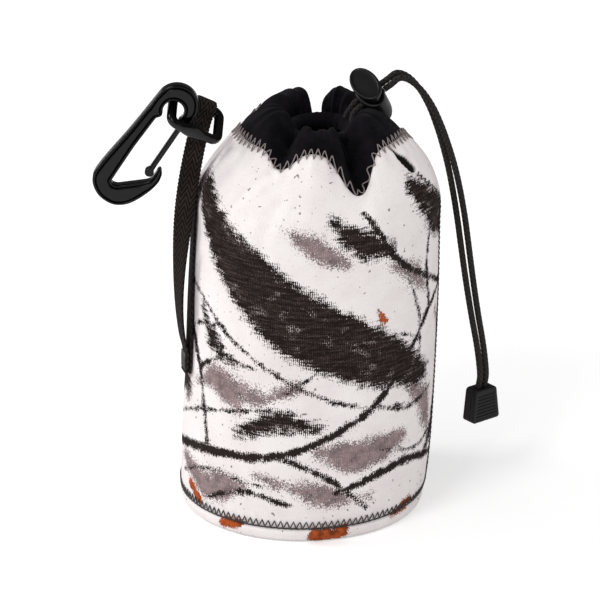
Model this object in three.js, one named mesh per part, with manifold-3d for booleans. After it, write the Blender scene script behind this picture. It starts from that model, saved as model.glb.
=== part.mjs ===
// A drawstring lens pouch: a neoprene tube with a knit collar, cord lock and belt hanger.
// Millimetres, +Z up, +X to the right, +Y away from the viewer, origin under the base's centre.
import * as THREE from 'three'
import { mergeVertices } from 'three/addons/utils/BufferGeometryUtils.js'
import Module from 'manifold-3d'

const wasm = await Module()
wasm.setup()

// Driving dimensions of the pouch
const wallRadius = 57
const neoprene = 3.5
const knit = 2
const baseHeight = 6.5
const baseInset = 1.5
const baseRounding = 2.5
const shoulderInset = 1.5
const pouchHeight = 191
const gatheredDepth = 53
const hemDrop = 13
const mouthRadius = 14.5
const leanAtTop = 9
const columns = 64

// Cord, and the clearances
const cordDiameter = 3
const seatGap = 0.3
const cordSpacing = 3.5
const cordSides = 8

// Cord lock
const lockLong = 19.5
const lockShort = 12
const lockHeight = 22
const lockBarrelHeight = 15.5
const lockWall = 1.3
const lockFloor = 1.5
const capThickness = 2.5
const lockSlotHeight = 11.5
const plungerTravel = 3.2
const lockReach = 5.08
const lockSideways = 0.5
const lockRise = 22.6
const lockAxis = new THREE.Vector3(-0.272, -0.6, 0.754).normalize()
const lockLongDirection = new THREE.Vector3(0.523, -0.749, -0.407)
const springWire = 0.6
const springOuter = 4.8
const springCurls = 3

// Cord end
const cordEndHeight = 16
const cordEndBottomWidth = 16.5
const cordEndTopWidth = 12.5
const cordEndShellDepth = 4.9
const cordEndCoverDepth = 2.8
const cordEndWall = 1
const cordEndTurn = THREE.MathUtils.degToRad(39)
const knotWidth = 7
const knotDepth = 5.4

// Webbing hanger
const webbingWidth = 9.5
const webbingThickness = 1.3
const anchorAngle = THREE.MathUtils.degToRad(196)
const anchorHeight = 78
const sewnLength = 10
const tackDepth = 0.8

// Webbing ring
const ringLength = 27.6
const ringBar = 4
const ringThickness = 3.8
const ringBarSpacing = 16.4
const ringFrontDepth = 7
const ringFrontPeakShare = 0.4
const ringCorner = 5.2
const ringOut = 0.7
const ringForward = 18
const ringRise = 57.6
const ringReach = new THREE.Vector3(0.86, 0.2, -0.47).normalize()
const foldPlace = 15.6
const foldShort = THREE.MathUtils.degToRad(22)

// Snap hook
const hookThickness = 5
const hookHeadRadius = 9.7
const hookPocketRadius = 4.8
const hookPocketDown = 3.2
const hookPocketSide = 0.5
const hookPocketDrop = 0.9
const hookPocketShift = 0.5
const hookLength = 56
const hookTilt = THREE.MathUtils.degToRad(-128.6)
const hookSetBack = 0
const gateThickness = 2.3
const gateWidth = 4
const gatePinRadius = 0.8
const gateBore = 1.05

const shoulderHeight = pouchHeight - gatheredDepth
const hemHeight = pouchHeight - hemDrop

const deg = THREE.MathUtils.degToRad
const tau = 2 * Math.PI
const up = new THREE.Vector3(0, 0, 1)
const overrun = 2

// Turns a geometry into a solid that can be cut and joined, and back
function toSolid(geometry) {
  const bare = geometry.clone()
  bare.deleteAttribute('normal')
  bare.deleteAttribute('uv')
  const merged = mergeVertices(bare)
  const vertProperties = new Float32Array(merged.attributes.position.array)
  const triVerts = new Uint32Array(merged.index.array)
  return new wasm.Manifold(new wasm.Mesh({ numProp: 3, vertProperties, triVerts }))
}

function toGeometry(solid) {
  const { vertProperties, triVerts } = solid.getMesh()
  const geometry = new THREE.BufferGeometry()
  geometry.setAttribute('position', new THREE.BufferAttribute(vertProperties, 3))
  geometry.setIndex(new THREE.BufferAttribute(triVerts, 1))
  return geometry
}

function cut(geometry, ...tools) {
  let solid = toSolid(geometry)
  for (const tool of tools) solid = solid.subtract(toSolid(tool))
  return toGeometry(solid)
}

function fuse(first, second) {
  return toGeometry(toSolid(first).add(toSolid(second)))
}

// Closes a grid of points whose rows and columns both run round, and turns its faces outwards
function ringGeometry(rows) {
  const rowLength = rows[0].length
  const positions = rows.flat().flatMap((p) => [p.x, p.y, p.z])
  const index = []
  for (let i = 0; i < rows.length; i++) {
    const next = (i + 1) % rows.length
    for (let j = 0; j < rowLength; j++) {
      const k = (j + 1) % rowLength
      const a = i * rowLength + j
      const b = next * rowLength + j
      const c = next * rowLength + k
      const d = i * rowLength + k
      index.push(a, b, c, a, c, d)
    }
  }
  return faceOut(positions, index)
}

// Closes a strip whose cross-sections are alike, with a flat cap at each end
function stripGeometry(sections) {
  const size = sections[0].length
  const positions = sections.flat().flatMap((p) => [p.x, p.y, p.z])
  const index = []
  for (let i = 0; i + 1 < sections.length; i++) {
    for (let j = 0; j < size; j++) {
      const k = (j + 1) % size
      const a = i * size + j
      const b = (i + 1) * size + j
      index.push(a, b, (i + 1) * size + k, a, (i + 1) * size + k, i * size + k)
    }
  }
  const last = (sections.length - 1) * size
  for (let j = 1; j + 1 < size; j++) {
    index.push(0, j, j + 1)
    index.push(last, last + j + 1, last + j)
  }
  return faceOut(positions, index)
}

function faceOut(positions, index) {
  const corner = (n) => new THREE.Vector3().fromArray(positions, 3 * index[n])
  let volume = 0
  for (let n = 0; n < index.length; n += 3) {
    volume += corner(n).dot(corner(n + 1).cross(corner(n + 2)))
  }
  const turned = volume > 0 ? index : index.slice().reverse()
  const geometry = new THREE.BufferGeometry()
  geometry.setAttribute('position', new THREE.Float32BufferAttribute(positions, 3))
  geometry.setIndex(turned)
  return geometry
}

// A round tube along a list of points, straight-ended
function tube(points, diameter, steps, sides) {
  const circle = new THREE.Shape()
  for (let i = 0; i < sides; i++) {
    const angle = (tau * i) / sides
    const x = (diameter / 2) * Math.cos(angle)
    const y = (diameter / 2) * Math.sin(angle)
    if (i === 0) circle.moveTo(x, y)
    else circle.lineTo(x, y)
  }
  const path = new THREE.CatmullRomCurve3(points, false, 'centripetal')
  return new THREE.ExtrudeGeometry(circle, { steps, extrudePath: path })
}

// The pouch's lean: the axis moves right as it rises
function lean(z) {
  const share = THREE.MathUtils.clamp((z - baseHeight) / (pouchHeight - baseHeight), 0, 1)
  return leanAtTop * share ** 0.75
}

// Creases of the gathered top: angle at the hem, drift towards the wall and half width, in degrees,
// and how deep each one is at the collar's seam, as a share of a plain crease
const creases = [
  { hem: -54, drift: -24, width: 12, depthShare: 1.25 },
  { hem: 24, drift: 0, width: 21, depthShare: 1 },
  { hem: 95, drift: 0, width: 10, depthShare: 1 },
  { hem: 160, drift: 0, width: 11, depthShare: 1 },
  { hem: 228, drift: 28, width: 10, depthShare: 0.5 },
]
const creaseDriftShare = 0.75
const seamRiseShare = 0.6
// The front fold stands lower than the others, and its seam lies nearer its top
const frontFold = { middle: -93, width: 26 }

function degreesFrom(angle, middle) {
  const away = THREE.MathUtils.radToDeg(angle) - middle
  return away - 360 * Math.round(away / 360)
}

// 1 on the crest of a fold, 0 in the bottom of a crease; rise is 0 at the shoulder, 1 at the hem
function crestShare(angle, rise) {
  let share = 1
  for (const crease of creases) {
    const middle = crease.hem + crease.drift * Math.min(1, (1 - rise) / creaseDriftShare)
    const away = degreesFrom(angle, middle)
    const depthShare = 1 + (crease.depthShare - 1) * Math.min(1, (1 - rise) / (1 - seamRiseShare))
    share *= 1 - depthShare * Math.exp(-((away / crease.width) ** 2))
  }
  return share
}

// Outer face of the wall below the shoulder: shares of the wall's radius and of its straight height
const wallRiseShares = [[0.974, 0], [0.99, 0.05], [1, 0.18], [1, 0.42], [0.992, 0.72], [0.974, 1]]
// Above it: shares of the way from the mouth to the shoulder's radius, and from the shoulder to the top
const crestShoulderShares = [[0.995, 0.19], [0.922, 0.396], [0.768, 0.604], [0.561, 0.792]]
const valleyShoulderShares = [[0.976, 0.19], [0.902, 0.34], [0.805, 0.453], [0.695, 0.538]]
const crestCollarShares = [[0.415, 0.915], [0.256, 0.985], [0.122, 0.975], [0.058, 0.89]]
const valleyCollarShares = [[0.5, 0.553], [0.33, 0.59], [0.183, 0.65], [0.08, 0.7]]
const frontShoulderShares = [[0.995, 0.19], [0.922, 0.396], [0.73, 0.62], [0.47, 0.79]]
const frontCollarShares = [[0.36, 0.845], [0.24, 0.885], [0.125, 0.88], [0.058, 0.845]]

const wallBottom = baseHeight + seatGap
const shoulderRadius = wallRadius - shoulderInset

function gathered(share) {
  return new THREE.Vector2(
    mouthRadius + share[0] * (shoulderRadius - mouthRadius),
    shoulderHeight + share[1] * (pouchHeight - shoulderHeight),
  )
}

// Control points between the crest's outline and the crease's, from one rise to another
function foldPoints(angle, crest, front, valley, riseFrom, riseTo) {
  const frontShare = Math.exp(-((degreesFrom(angle, frontFold.middle) / frontFold.width) ** 2))
  return crest.map((share, i) => {
    const rise = riseFrom + ((riseTo - riseFrom) * (i + 1)) / crest.length
    const top = gathered(share).lerp(gathered(front[i]), frontShare)
    return gathered(valley[i]).lerp(top, crestShare(angle, rise))
  })
}

const channelRadius = cordDiameter / 2 + 2 * seatGap

// Outline of the cloth's outer face at one angle, from the base up to where the hem turns
function clothCurve(angle) {
  const rise = wallRiseShares.map(([r, z]) => new THREE.Vector2(
    wallRadius * r,
    wallBottom + z * (shoulderHeight - wallBottom),
  ))
  const arrival = hemArrival(angle)
  const outline = [
    ...rise,
    ...foldPoints(angle, crestShoulderShares, frontShoulderShares, valleyShoulderShares, 0, seamRiseShare),
    ...foldPoints(angle, crestCollarShares, frontCollarShares, valleyCollarShares, seamRiseShare, 1),
    new THREE.Vector2(
      mouthRadius + channelRadius * Math.cos(arrival),
      hemHeight + channelRadius * Math.sin(arrival),
    ),
  ]
  const points = outline.map((p) => new THREE.Vector3(p.x, 0, p.y))
  return new THREE.CatmullRomCurve3(points, false, 'centripetal')
}

// Where the wall ends and the collar begins, as shares of that curve
const seamIndex = wallRiseShares.length + crestShoulderShares.length - 1
const seamGap = 2 * seatGap
const seamShare = seamIndex / (seamIndex + crestCollarShares.length + 1)

function collarStart(curve) {
  const step = 0.001
  const speed = curve.getPoint(seamShare + step).distanceTo(curve.getPoint(seamShare)) / step
  return seamShare + seamGap / speed
}

function hemArrival(angle) {
  return -(Math.PI / 2) * (1 - crestShare(angle, 1))
}

// Points of a stretch of the curve, and the same points pushed in by a thickness
function outlineRows(curve, from, to, outerSteps, innerSteps, thickness) {
  const outer = []
  const inner = []
  for (let i = 0; i <= outerSteps; i++) outer.push(curve.getPoint(from + ((to - from) * i) / outerSteps))
  for (let i = 0; i <= innerSteps; i++) {
    const t = from + ((to - from) * i) / innerSteps
    const tangent = curve.getTangent(t)
    const push = new THREE.Vector3(-tangent.z, 0, tangent.x).multiplyScalar(thickness)
    inner.push(curve.getPoint(t).add(push))
  }
  return { outer, inner }
}

function placeColumn(section, angle) {
  return section.map((p) => new THREE.Vector3(
    lean(p.z) + p.x * Math.cos(angle),
    p.x * Math.sin(angle),
    p.z,
  ))
}

function eachColumn(makeSection) {
  const rows = []
  for (let i = 0; i < columns; i++) {
    const angle = (tau * i) / columns
    rows.push(placeColumn(makeSection(angle), angle))
  }
  return ringGeometry(rows)
}

function wallPanel() {
  const outerSteps = 12
  const innerSteps = 8
  return eachColumn((angle) => {
    const { outer, inner } = outlineRows(clothCurve(angle), 0, seamShare, outerSteps, innerSteps, neoprene)
    inner[0].z = wallBottom
    return [...outer, ...inner.reverse()]
  })
}

// The hem's turn round the cord, from where the collar arrives
function hemTurn(angle, radius, steps) {
  const sweep = deg(285)
  const from = hemArrival(angle)
  const points = []
  for (let i = 1; i <= steps; i++) {
    const at = from - (sweep * i) / steps
    points.push(new THREE.Vector3(
      mouthRadius + radius * Math.cos(at),
      0,
      hemHeight + radius * Math.sin(at),
    ))
  }
  return points
}

function collarSolid() {
  const stripSteps = 6
  const hemSteps = 7
  return eachColumn((angle) => {
    const curve = clothCurve(angle)
    const { outer, inner } = outlineRows(curve, collarStart(curve), 1, stripSteps, stripSteps, knit)
    inner.pop()
    const outerAll = [...outer, ...hemTurn(angle, channelRadius, hemSteps)]
    const last = new THREE.Vector3(
      mouthRadius + (channelRadius + knit) * Math.cos(hemArrival(angle)),
      0,
      hemHeight + (channelRadius + knit) * Math.sin(hemArrival(angle)),
    )
    const innerAll = [...inner, last, ...hemTurn(angle, channelRadius + knit, hemSteps)]
    return [...innerAll, ...outerAll.reverse()]
  })
}

function basePanel() {
  const rim = wallRadius - baseInset
  const floor = neoprene
  const inside = rim - neoprene
  const profile = [
    [0, 0],
    [rim - baseRounding, 0],
    [rim - baseRounding / 3, baseRounding / 3],
    [rim, baseRounding],
    [rim, baseHeight],
    [inside, baseHeight],
    [inside, floor + seatGap],
    [inside - seatGap, floor],
    [0, floor],
  ].map(([r, z]) => new THREE.Vector2(r, z))
  return new THREE.LatheGeometry(profile, columns)
}

// The lock's face sits out from the mouth and above the hem
const lockFaceCentre = new THREE.Vector3(
  lean(hemHeight) + mouthRadius + lockReach,
  lockSideways,
  hemHeight + lockRise,
)

// Directions of the cord lock: its axis, its long side and the way the cord runs through it
const lockLongSide = lockLongDirection.clone().addScaledVector(
  lockAxis,
  -lockLongDirection.dot(lockAxis),
).normalize()
const lockThrough = new THREE.Vector3().crossVectors(lockAxis, lockLongSide)
const lockFoot = lockFaceCentre.clone().addScaledVector(lockAxis, -lockHeight)

// In the lock's own frame X is its long side, Y the way through and Z its axis
const lockFrame = new THREE.Matrix4().makeBasis(lockLongSide, lockThrough, lockAxis).setPosition(lockFoot)

function oval(long, short, segments) {
  const shape = new THREE.Shape()
  for (let i = 0; i < segments; i++) {
    const angle = (tau * i) / segments
    const x = (long / 2) * Math.cos(angle)
    const y = (short / 2) * Math.sin(angle)
    if (i === 0) shape.moveTo(x, y)
    else shape.lineTo(x, y)
  }
  return shape
}

const ovalSegments = 28

// A block with an oval outline whose two ends can be rounded by the same bevel
function ovalBlock(long, short, from, to, bevel) {
  const shape = oval(long - 2 * bevel, short - 2 * bevel, ovalSegments)
  const geometry = new THREE.ExtrudeGeometry(shape, {
    depth: to - from - 2 * bevel,
    bevelEnabled: bevel > 0,
    bevelThickness: bevel,
    bevelSize: bevel,
    bevelSegments: 3,
  })
  return geometry.translate(0, 0, from + bevel)
}

function slotTool(width, from, to, length) {
  return new THREE.BoxGeometry(width, length, to - from).translate(0, 0, (from + to) / 2)
}

const slotWidth = cordSpacing + cordDiameter + 2 * seatGap
const slotHalf = cordDiameter / 2 + seatGap
const stemLong = lockLong - 2 * (lockWall + seatGap)
const stemShort = lockShort - 2 * (lockWall + seatGap)
const capUnderside = lockHeight - capThickness
const stemBottom = lockSlotHeight - slotHalf - plungerTravel
const springSeat = springOuter + 4 * seatGap

function lockBarrel() {
  const rounding = 2
  const outside = ovalBlock(lockLong, lockShort, 0, lockBarrelHeight + rounding, rounding)
  const inside = ovalBlock(
    lockLong - 2 * lockWall, lockShort - 2 * lockWall, lockFloor, lockBarrelHeight + 2 * rounding, 0,
  )
  const lid = new THREE.BoxGeometry(2 * lockLong, 2 * lockLong, 2 * rounding)
  lid.translate(0, 0, lockBarrelHeight + rounding)
  const slot = slotTool(slotWidth, lockSlotHeight - slotHalf, lockSlotHeight + slotHalf, 2 * lockLong)
  return cut(outside, lid, inside, slot).applyMatrix4(lockFrame)
}

function lockPlunger() {
  const rounding = 0.9
  const cap = ovalBlock(lockLong, lockShort, capUnderside, lockHeight, rounding)
  const stem = ovalBlock(stemLong, stemShort, stemBottom, lockHeight - rounding, 0)
  const slot = slotTool(
    slotWidth, lockSlotHeight - slotHalf, lockSlotHeight + slotHalf + plungerTravel, 2 * lockLong,
  )
  const seatDepth = lockSlotHeight - slotHalf - stemBottom - lockWall
  const seat = new THREE.CylinderGeometry(springSeat / 2, springSeat / 2, seatDepth + overrun, 16)
  seat.rotateX(Math.PI / 2).translate(0, 0, stemBottom + (seatDepth - overrun) / 2)
  const whole = toSolid(cap).add(toSolid(stem)).subtract(toSolid(slot)).subtract(toSolid(seat))
  return toGeometry(whole).applyMatrix4(lockFrame)
}

function lockSpring() {
  const seatDepth = lockSlotHeight - slotHalf - stemBottom - lockWall
  const low = lockFloor + seatGap + springWire / 2
  const high = stemBottom + seatDepth - seatGap - springWire / 2
  const radius = (springOuter - springWire) / 2
  const points = []
  const stepsPerCurl = 8
  for (let i = 0; i <= springCurls * stepsPerCurl; i++) {
    const angle = (tau * i) / stepsPerCurl
    const share = i / (springCurls * stepsPerCurl)
    points.push(new THREE.Vector3(
      radius * Math.cos(angle), radius * Math.sin(angle), low + (high - low) * share,
    ))
  }
  return tube(points, springWire, springCurls * stepsPerCurl, 5).applyMatrix4(lockFrame)
}

// A point on a strand of the cord inside the lock: side is -1 or 1, out is along the way through
function strandPoint(side, out) {
  return lockFoot.clone()
    .addScaledVector(lockAxis, lockSlotHeight)
    .addScaledVector(lockLongSide, (side * cordSpacing) / 2)
    .addScaledVector(lockThrough, out)
}

function ringPoint(degrees, lift) {
  const z = hemHeight + lift
  return new THREE.Vector3(
    lean(hemHeight) + mouthRadius * Math.cos(deg(degrees)),
    mouthRadius * Math.sin(deg(degrees)),
    z,
  )
}

// Held part of the cord: through the lock, down to the hem, round the mouth and back
function loopRoute() {
  const face = lockShort / 2
  const beyond = face + cordDiameter / 2
  const points = [strandPoint(-1, face), strandPoint(-1, 0), strandPoint(-1, -face), strandPoint(-1, -beyond)]
  points.push(ringPoint(31, 6.5))
  for (let degrees = 48; degrees <= 352; degrees += 16) points.push(ringPoint(degrees, 0))
  points.push(ringPoint(370, 6.5))
  points.push(strandPoint(1, -beyond), strandPoint(1, -face), strandPoint(1, 0), strandPoint(1, face))
  return points
}

function drawcordLoop() {
  return tube(loopRoute(), cordDiameter, 76, cordSides)
}

function collar() {
  const room = tube(loopRoute(), cordDiameter + 2 * seatGap, 76, cordSides)
  return cut(collarSolid(), room)
}

// Route of the free cord ends, midway between the two strands, as it hangs beside the pouch
const tailRoute = [
  [47.6, 13.2, 198.6], [53, 14, 193.2], [57.8, 14, 185.4], [61.6, 13.6, 176.4], [64.9, 13.2, 166.4],
  [67.8, 12.7, 155.6], [70.2, 12.1, 144], [72.2, 11.6, 132], [73.9, 11.1, 119.6], [75.6, 10.6, 107],
  [77.4, 10.2, 94.6], [79.3, 9.8, 82.8], [81.2, 9.4, 72], [82.5, 9.1, 62.4], [83, 9, 55],
]
const tailStraight = 9
const cordEndTop = new THREE.Vector3(83, 9, 49.5)

const cordEndAcross = new THREE.Vector3(Math.cos(cordEndTurn), Math.sin(cordEndTurn), 0)
const cordEndFront = new THREE.Vector3(Math.sin(cordEndTurn), -Math.cos(cordEndTurn), 0)

const cordEndMiddle = (cordEndShellDepth - cordEndCoverDepth) / 2
const cordEndEntry = cordEndTop.clone().addScaledVector(cordEndFront, -cordEndMiddle)

// Each strand lies half a spacing to one side, and the pair turns slowly as it comes down
function tailPoints(side) {
  const centre = [
    strandPoint(0, lockShort / 2 + seatGap),
    strandPoint(0, lockShort / 2 + tailStraight / 2),
    strandPoint(0, lockShort / 2 + tailStraight),
    ...tailRoute.map((p) => new THREE.Vector3(...p)),
    cordEndEntry,
    cordEndEntry.clone().addScaledVector(up, -cordEndNotch),
  ]
  return centre.map((p, i) => {
    const share = THREE.MathUtils.smoothstep(i, 2, centre.length - 2)
    const along = centre[Math.min(i + 1, centre.length - 1)].clone().sub(centre[Math.max(i - 1, 0)]).normalize()
    const across = lockLongSide.clone().lerp(cordEndAcross, share)
    across.addScaledVector(along, -across.dot(along)).normalize()
    return p.clone().addScaledVector(across, (side * cordSpacing) / 2)
  })
}

function drawcordTail(side) {
  return tube(tailPoints(side), cordDiameter, 40, cordSides)
}

// In the cord end's frame X is its width, Y points to its back and Z is up, from its bottom edge
const cordEndNotch = 2.6
const cordEndFrame = new THREE.Matrix4().makeBasis(cordEndAcross, cordEndFront.clone().negate(), up)
cordEndFrame.setPosition(cordEndTop.clone().addScaledVector(up, -cordEndHeight))

function trapezoid(from, to) {
  const corner = 1.8
  const bevel = 0.7
  const low = cordEndBottomWidth / 2 - bevel
  const high = cordEndTopWidth / 2 - bevel
  const bottom = bevel
  const top = cordEndHeight - bevel
  const shape = new THREE.Shape()
  shape.moveTo(-low + corner, bottom)
  shape.lineTo(low - corner, bottom)
  shape.quadraticCurveTo(low, bottom, low, bottom + corner)
  shape.lineTo(high, top - corner)
  shape.quadraticCurveTo(high, top, high - corner, top)
  shape.lineTo(-high + corner, top)
  shape.quadraticCurveTo(-high, top, -high, top - corner)
  shape.lineTo(-low, bottom + corner)
  shape.quadraticCurveTo(-low, bottom, -low + corner, bottom)
  const geometry = new THREE.ExtrudeGeometry(shape, {
    depth: to - from - 2 * bevel,
    bevelThickness: bevel,
    bevelSize: bevel,
    bevelSegments: 2,
    curveSegments: 4,
  })
  return geometry.rotateX(Math.PI / 2).translate(0, to - bevel, 0)
}

// The hollow for the knot, and the notch where the cords come in
function cordEndHollow() {
  const width = knotWidth + 4 * seatGap
  const depth = knotDepth + 2 * seatGap
  const knotRoom = new THREE.BoxGeometry(width, depth, width)
  knotRoom.translate(0, cordEndMiddle, cordEndHeight - cordEndNotch - width / 2 - seatGap)
  const notch = new THREE.BoxGeometry(slotWidth, 2 * slotHalf, 2 * cordEndNotch + 2 * seatGap + overrun)
  notch.translate(0, cordEndMiddle, cordEndHeight + (overrun - seatGap) / 2)
  return [knotRoom, notch]
}

function cordEndShell() {
  const block = trapezoid(seatGap / 2, cordEndShellDepth)
  return cut(block, ...cordEndHollow()).applyMatrix4(cordEndFrame)
}

function cordEndCover() {
  const block = trapezoid(-cordEndCoverDepth, -seatGap / 2)
  return cut(block, ...cordEndHollow()).applyMatrix4(cordEndFrame)
}

function cordKnot() {
  const knot = new THREE.SphereGeometry(knotWidth / 2, 14, 10)
  knot.scale(1, knotDepth / knotWidth, 1)
  const drop = cordEndNotch + 2 * seatGap + knotWidth / 2
  return knot.translate(0, cordEndMiddle, cordEndHeight - drop).applyMatrix4(cordEndFrame)
}

// The ring's outer bar, beside the shoulder
const ringPivot = new THREE.Vector3(-wallRadius - ringOut, -ringForward, shoulderHeight + ringRise)

// The ring's frame: X from the hook's bar to the webbing, Y across from the front bar to the rear one
const ringAcross = new THREE.Vector3(0.06, 0.888, 0)
ringAcross.z = -(ringAcross.x * ringReach.x + ringAcross.y * ringReach.y) / ringReach.z
ringAcross.normalize()
const ringUp = new THREE.Vector3().crossVectors(ringReach, ringAcross)
const ringFrame = new THREE.Matrix4().makeBasis(ringReach, ringAcross, ringUp).setPosition(ringPivot)

function roundedRectangle(left, right, bottom, top, corner, Path = THREE.Shape) {
  const shape = new Path()
  shape.moveTo(left + corner, bottom)
  shape.lineTo(right - corner, bottom)
  shape.absarc(right - corner, bottom + corner, corner, -Math.PI / 2, 0, false)
  shape.lineTo(right, top - corner)
  shape.absarc(right - corner, top - corner, corner, 0, Math.PI / 2, false)
  shape.lineTo(left + corner, top)
  shape.absarc(left + corner, top - corner, corner, Math.PI / 2, Math.PI, false)
  shape.lineTo(left, bottom + corner)
  shape.absarc(left + corner, bottom + corner, corner, Math.PI, 1.5 * Math.PI, false)
  return shape
}

function webbingRing() {
  const bevel = 0.7
  const half = ringBar / 2
  const across = ringBarSpacing / 2
  const outline = roundedRectangle(
    -half + bevel, ringLength - half - bevel, -across - half + bevel, across + half - bevel, ringCorner - bevel,
  )
  outline.holes.push(roundedRectangle(
    half - bevel, ringLength - ringBar - half + bevel, -across + half - bevel, across - half + bevel,
    ringCorner - ringBar + bevel, THREE.Path,
  ))
  const geometry = new THREE.ExtrudeGeometry(outline, {
    depth: ringThickness - 2 * bevel,
    bevelThickness: bevel,
    bevelSize: bevel,
    bevelSegments: 2,
    curveSegments: 5,
  })
  const loop = geometry.translate(0, 0, -ringThickness / 2 + bevel)
  // The front bar deepens towards its middle, like a leaf seen from the side
  const first = ringCorner - half
  const last = ringLength - ringBar - first
  const leaf = new THREE.Shape()
  leaf.moveTo(first, 0)
  const peak = first + (last - first) * ringFrontPeakShare
  leaf.quadraticCurveTo(peak, ringFrontDepth - bevel, last, 0)
  leaf.quadraticCurveTo(peak, bevel - ringFrontDepth, first, 0)
  const front = new THREE.ExtrudeGeometry(leaf, {
    depth: ringBar - 2 * bevel,
    bevelThickness: bevel,
    bevelSize: bevel / 2,
    bevelSegments: 1,
    curveSegments: 10,
  })
  front.rotateX(Math.PI / 2).translate(0, bevel - across - half + ringBar - 2 * bevel, 0)
  return fuse(loop, front).applyMatrix4(ringFrame)
}

// The hook's frame: X down its length from the head's centre, Y towards the gate, Z through it
const hookDown = new THREE.Vector3(Math.cos(hookTilt), 0, Math.sin(hookTilt))
const hookSide = new THREE.Vector3(-Math.sin(hookTilt), 0, Math.cos(hookTilt))
const hookThrough = new THREE.Vector3().crossVectors(hookDown, hookSide)
const hookPocket = new THREE.Vector2(hookPocketDown, hookPocketSide)
const hookHead = ringPivot.clone()
  .add(new THREE.Vector3(hookPocketShift, hookSetBack, -hookPocketDrop))
  .addScaledVector(hookDown, -hookPocket.x)
  .addScaledVector(hookSide, -hookPocket.y)
const hookFrame = new THREE.Matrix4().makeBasis(hookDown, hookSide, hookThrough).setPosition(hookHead)

// The hook's outline, as places along its length and across it, in shares of its length
const spineOuterShares = [[0.38, -0.168], [0.79, -0.174]]
const bendOuterShares = [[0.92, -0.137], [0.99, -0.03], [0.993, 0.085], [0.955, 0.165], [0.873, 0.23]]
const noseOuterShares = [[0.727, 0.278], [0.611, 0.29], [0.53, 0.268]]
const noseInnerShares = [[0.505, 0.235], [0.525, 0.218], [0.575, 0.228], [0.64, 0.226]]
const armInnerShares = [[0.662, 0.208], [0.75, 0.124], [0.83, 0.047]]
const spineInnerShares = [[0.845, 0.012], [0.835, -0.014], [0.48, -0.05]]
const retainerDegrees = [-30, -26, -31, -44]
const retainerShares = [1.7, 1.4, 1.09, 1.02]

const gateRoot = new THREE.Vector2(4.6, 7.5)
const gateEar = 2.5

function hookOutline() {
  const scaled = (shares) => shares.map(([x, y]) => new THREE.Vector2(x * hookLength, y * hookLength))
  const shape = new THREE.Shape()
  const earWay = gateRoot.angle()
  const earFrom = earWay - 0.6 * Math.PI
  const earTo = earWay + 0.3 * Math.PI
  const pocketTo = gateRoot.clone().sub(hookPocket).angle() - 0.1 * Math.PI
  shape.absarc(gateRoot.x, gateRoot.y, gateEar, earFrom, earTo, false)
  shape.absarc(0, 0, hookHeadRadius, earWay + 0.12 * Math.PI, 1.5 * Math.PI, false)
  shape.splineThru([...scaled(spineOuterShares), ...scaled(bendOuterShares), ...scaled(noseOuterShares)])
  for (const p of scaled(noseInnerShares)) shape.lineTo(p.x, p.y)
  for (const p of scaled(armInnerShares)) shape.lineTo(p.x, p.y)
  for (const p of scaled(spineInnerShares)) shape.lineTo(p.x, p.y)
  const retainer = retainerShares.map((share, i) => new THREE.Vector2(hookPocketRadius * share, 0)
    .rotateAround(new THREE.Vector2(), deg(retainerDegrees[i])).add(hookPocket))
  for (const p of retainer) shape.lineTo(p.x, p.y)
  const pocketFrom = retainer.at(-1).clone().sub(hookPocket).angle() - tau
  shape.absarc(hookPocket.x, hookPocket.y, hookPocketRadius, pocketFrom, pocketTo - tau, true)
  return shape
}

const hookBevelShare = 0.018
const hookBevel = hookBevelShare * hookLength
const forkWidth = gateWidth - 1 + 2 * seatGap

function hookBody() {
  const geometry = new THREE.ExtrudeGeometry(hookOutline(), {
    depth: hookThickness - 2 * hookBevel,
    bevelThickness: hookBevel,
    bevelSize: hookBevel,
    bevelOffset: -hookBevel,
    bevelSegments: 2,
    curveSegments: 8,
  })
  geometry.translate(0, 0, -hookThickness / 2 + hookBevel)
  const fork = new THREE.CylinderGeometry(gateKnuckle + seatGap, gateKnuckle + seatGap, forkWidth, 16)
  fork.rotateX(Math.PI / 2).translate(gateRoot.x, gateRoot.y, 0)
  const way = new THREE.BoxGeometry(overrun * 3, 2 * (gateKnuckle + seatGap), forkWidth)
  way.translate(gateRoot.x + overrun * 1.5, gateRoot.y, 0)
  const bore = new THREE.CylinderGeometry(gateBore, gateBore, 3 * hookThickness, 12)
  bore.rotateX(Math.PI / 2).translate(gateRoot.x, gateRoot.y, 0)
  return cut(geometry, fork, way, bore).applyMatrix4(hookFrame)
}

const gateKnuckle = 1.8
const gateTipShare = [0.59, 0.181]
const gateTipRadius = 2.1

function hookGate() {
  const tip = new THREE.Vector2(gateTipShare[0] * hookLength, gateTipShare[1] * hookLength)
  const along = tip.clone().sub(gateRoot)
  const length = along.length()
  const blade = new THREE.BoxGeometry(length, gateThickness, gateWidth - 1).translate(length / 2, 0, 0)
  const knuckle = new THREE.CylinderGeometry(gateKnuckle, gateKnuckle, gateWidth - 1, 16).rotateX(Math.PI / 2)
  const bulb = new THREE.CylinderGeometry(gateTipRadius, gateTipRadius, gateWidth, 16).rotateX(Math.PI / 2)
  bulb.translate(length, 0, 0)
  const bore = new THREE.CylinderGeometry(gateBore, gateBore, 2 * gateWidth, 12)
  bore.rotateX(Math.PI / 2)
  const whole = toSolid(blade).add(toSolid(knuckle)).add(toSolid(bulb)).subtract(toSolid(bore))
  const geometry = toGeometry(whole).rotateZ(Math.atan2(along.y, along.x))
  return geometry.translate(gateRoot.x, gateRoot.y, 0).applyMatrix4(hookFrame)
}

function gatePin() {
  const pin = new THREE.CylinderGeometry(gatePinRadius, gatePinRadius, hookThickness - seatGap, 12)
  return pin.rotateX(Math.PI / 2).translate(gateRoot.x, gateRoot.y, 0).applyMatrix4(hookFrame)
}

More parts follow.
